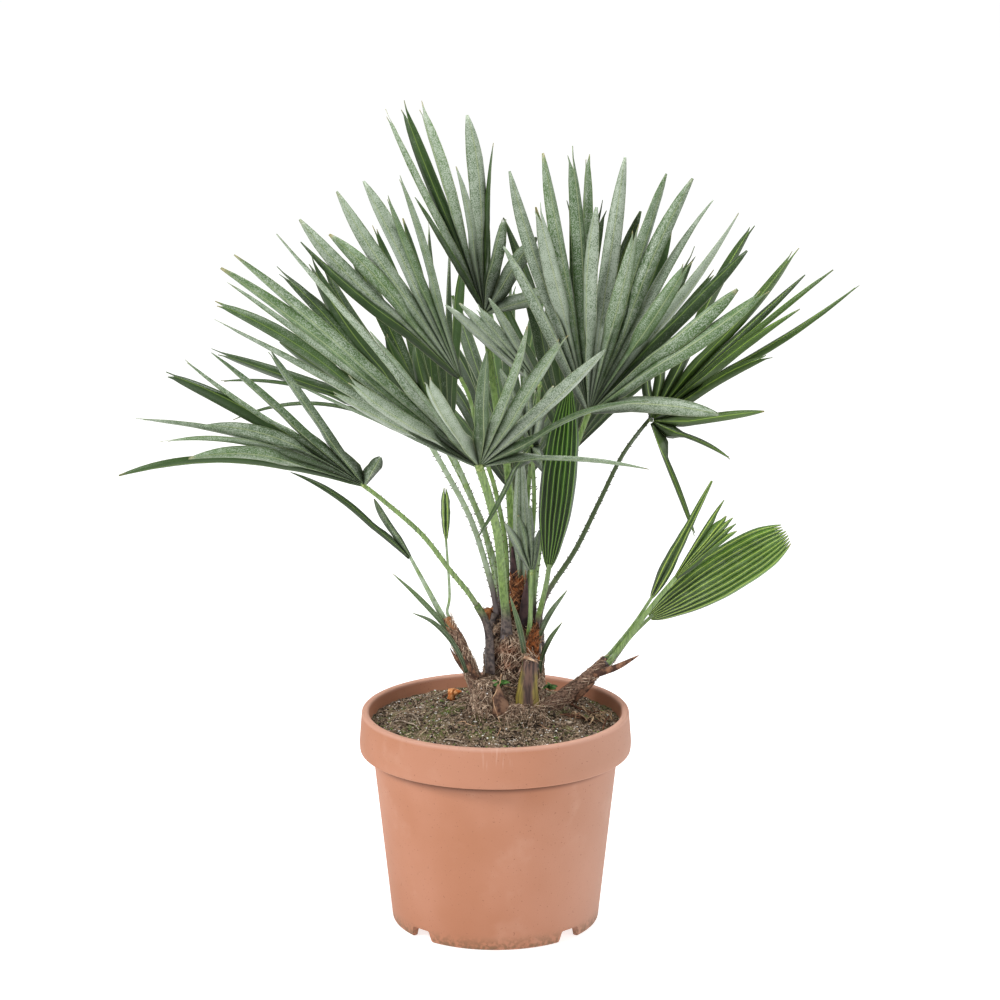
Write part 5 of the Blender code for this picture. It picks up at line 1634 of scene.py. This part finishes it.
# ---------------------------------------------------------------- Weeds
# Two little weeds that came up in the mix beside the trunk, small round leaves on
# thin stems, and a curled bit of a fallen leaf that dried to orange on the soil.
weed_green = speckled("weed_green", (38, 74, 26), (86, 124, 60), 300.0, 0.5)
# where each weed's leaves spread, the height its stems start at, its leaves and their size
WEEDS = ((Vector((0.0040, -0.0470, 0.2855)), 0.2740, 6, 0.0105),
         (Vector((0.0600, 0.0000, 0.2676)), 0.2430, 5, 0.0100))
bm = bmesh.new()
for head, ground, count, size in WEEDS:
    for k in range(count):
        turn = k * 1.05 + luck.uniform(-0.3, 0.3)
        heading = Vector((math.cos(turn), -abs(math.sin(turn)) * 0.6, luck.uniform(-0.35, 0.35))).normalized()
        foot = head + heading * 0.001 + Vector((luck.uniform(-0.004, 0.004), 0, luck.uniform(-0.002, 0.002)))
        tip = foot + heading * size * luck.uniform(0.7, 1.0)
        scale_leaf(bm, foot, tip, Vector((0, -0.6, 1)) + heading * 0.2, size * 0.85, 0.15)
thin_sheet(made_piece("weed_leaves", bm, [weed_green], "green_leaf", 60), 0.0003)
stems = []
for head, ground, count, size in WEEDS:
    for _ in range(3):
        base = Vector((head.x + luck.uniform(-0.003, 0.003), head.y + 0.004, ground))
        halfway = base.lerp(head, 0.5) + Vector((0.001, 0, 0))
        stems.append([base, halfway, head + Vector((luck.uniform(-0.003, 0.003), 0, 0.001))])
strands("weed_stems", [weed_green], stems, 0.0005, "green_leaf")
dried_orange = speckled("fallen_leaf", (168, 96, 46), (222, 162, 108), 260.0, 0.7)
bm = bmesh.new()
scale_leaf(bm, (-0.0530, 0.022, soil_level(-0.053, 0.020) + 0.009),
           (-0.037, 0.020, soil_level(-0.040, 0.017) + 0.012), (0, -1, 0.5), 0.013, 0.9, 0.7)
scale_leaf(bm, (-0.0500, 0.018, soil_level(-0.050, 0.014) + 0.001),
           (-0.046, 0.021, soil_level(-0.043, 0.022) + 0.015), (0, -1, 0.3), 0.010, 0.6, -0.6)
thin_sheet(made_piece("fallen_leaf_bit", bm, [dried_orange], "soil", 60), 0.0004)

# ---------------------------------------------------------------- Studio
# A wide pale floor, soft light from the front left and above, and the camera.
bm = bmesh.new()
bmesh.ops.create_grid(bm, x_segments=1, y_segments=1, size=80.0)
floor_white = bpy.data.materials.new("studio_floor")
floor_white.use_nodes = True
for name, given in (("Base Color", (0.62, 0.62, 0.62, 1)), ("Emission Color", (1.0, 1.0, 1.0, 1)),
                    ("Emission Strength", 0.75), ("Roughness", 0.9)):
    floor_white.node_tree.nodes["Principled BSDF"].inputs[name].default_value = given
floor = made_piece("studio_floor", bm, [floor_white], None)

world = bpy.data.worlds.new("studio")
bpy.context.scene.world = world
world.use_nodes = True
sky = world.node_tree.nodes["Background"].inputs
sky["Color"].default_value = (1.0, 1.0, 1.0, 1)
sky["Strength"].default_value = 0.42
bpy.context.scene.view_settings.view_transform = "Standard"


def softbox(name, spot, aim, size, watts):
    """A rectangular lamp that faces the point it is aimed at."""
    light = bpy.data.lights.new(name, "AREA")
    light.shape = "RECTANGLE"
    light.size, light.size_y = size
    light.energy = watts
    lamp = bpy.data.objects.new(name, light)
    lamp.location = spot
    lamp.rotation_euler = (Vector(aim) - Vector(spot)).to_track_quat("-Z", "Y").to_euler()
    bpy.context.scene.collection.objects.link(lamp)


softbox("key_softbox", (-2.5, -1.5, 2.4), (0, 0, 0.45), (0.9, 0.9), 95)
softbox("fill_softbox", (2.5, -1.3, 1.5), (0, 0, 0.4), (1.4, 1.4), 26)
softbox("top_softbox", (0.3, 0.3, 2.6), (0, 0, 0.4), (1.2, 1.2), 46)

camera = bpy.data.objects.new("camera", bpy.data.cameras.new("camera"))
camera.data.sensor_width = 36.0
camera.data.lens = 118.54
camera.location = (0.0051, -3.5, 1.3036)
camera.rotation_euler = (math.radians(90 - 13.26), 0, 0)
bpy.context.scene.collection.objects.link(camera)
bpy.context.scene.camera = camera
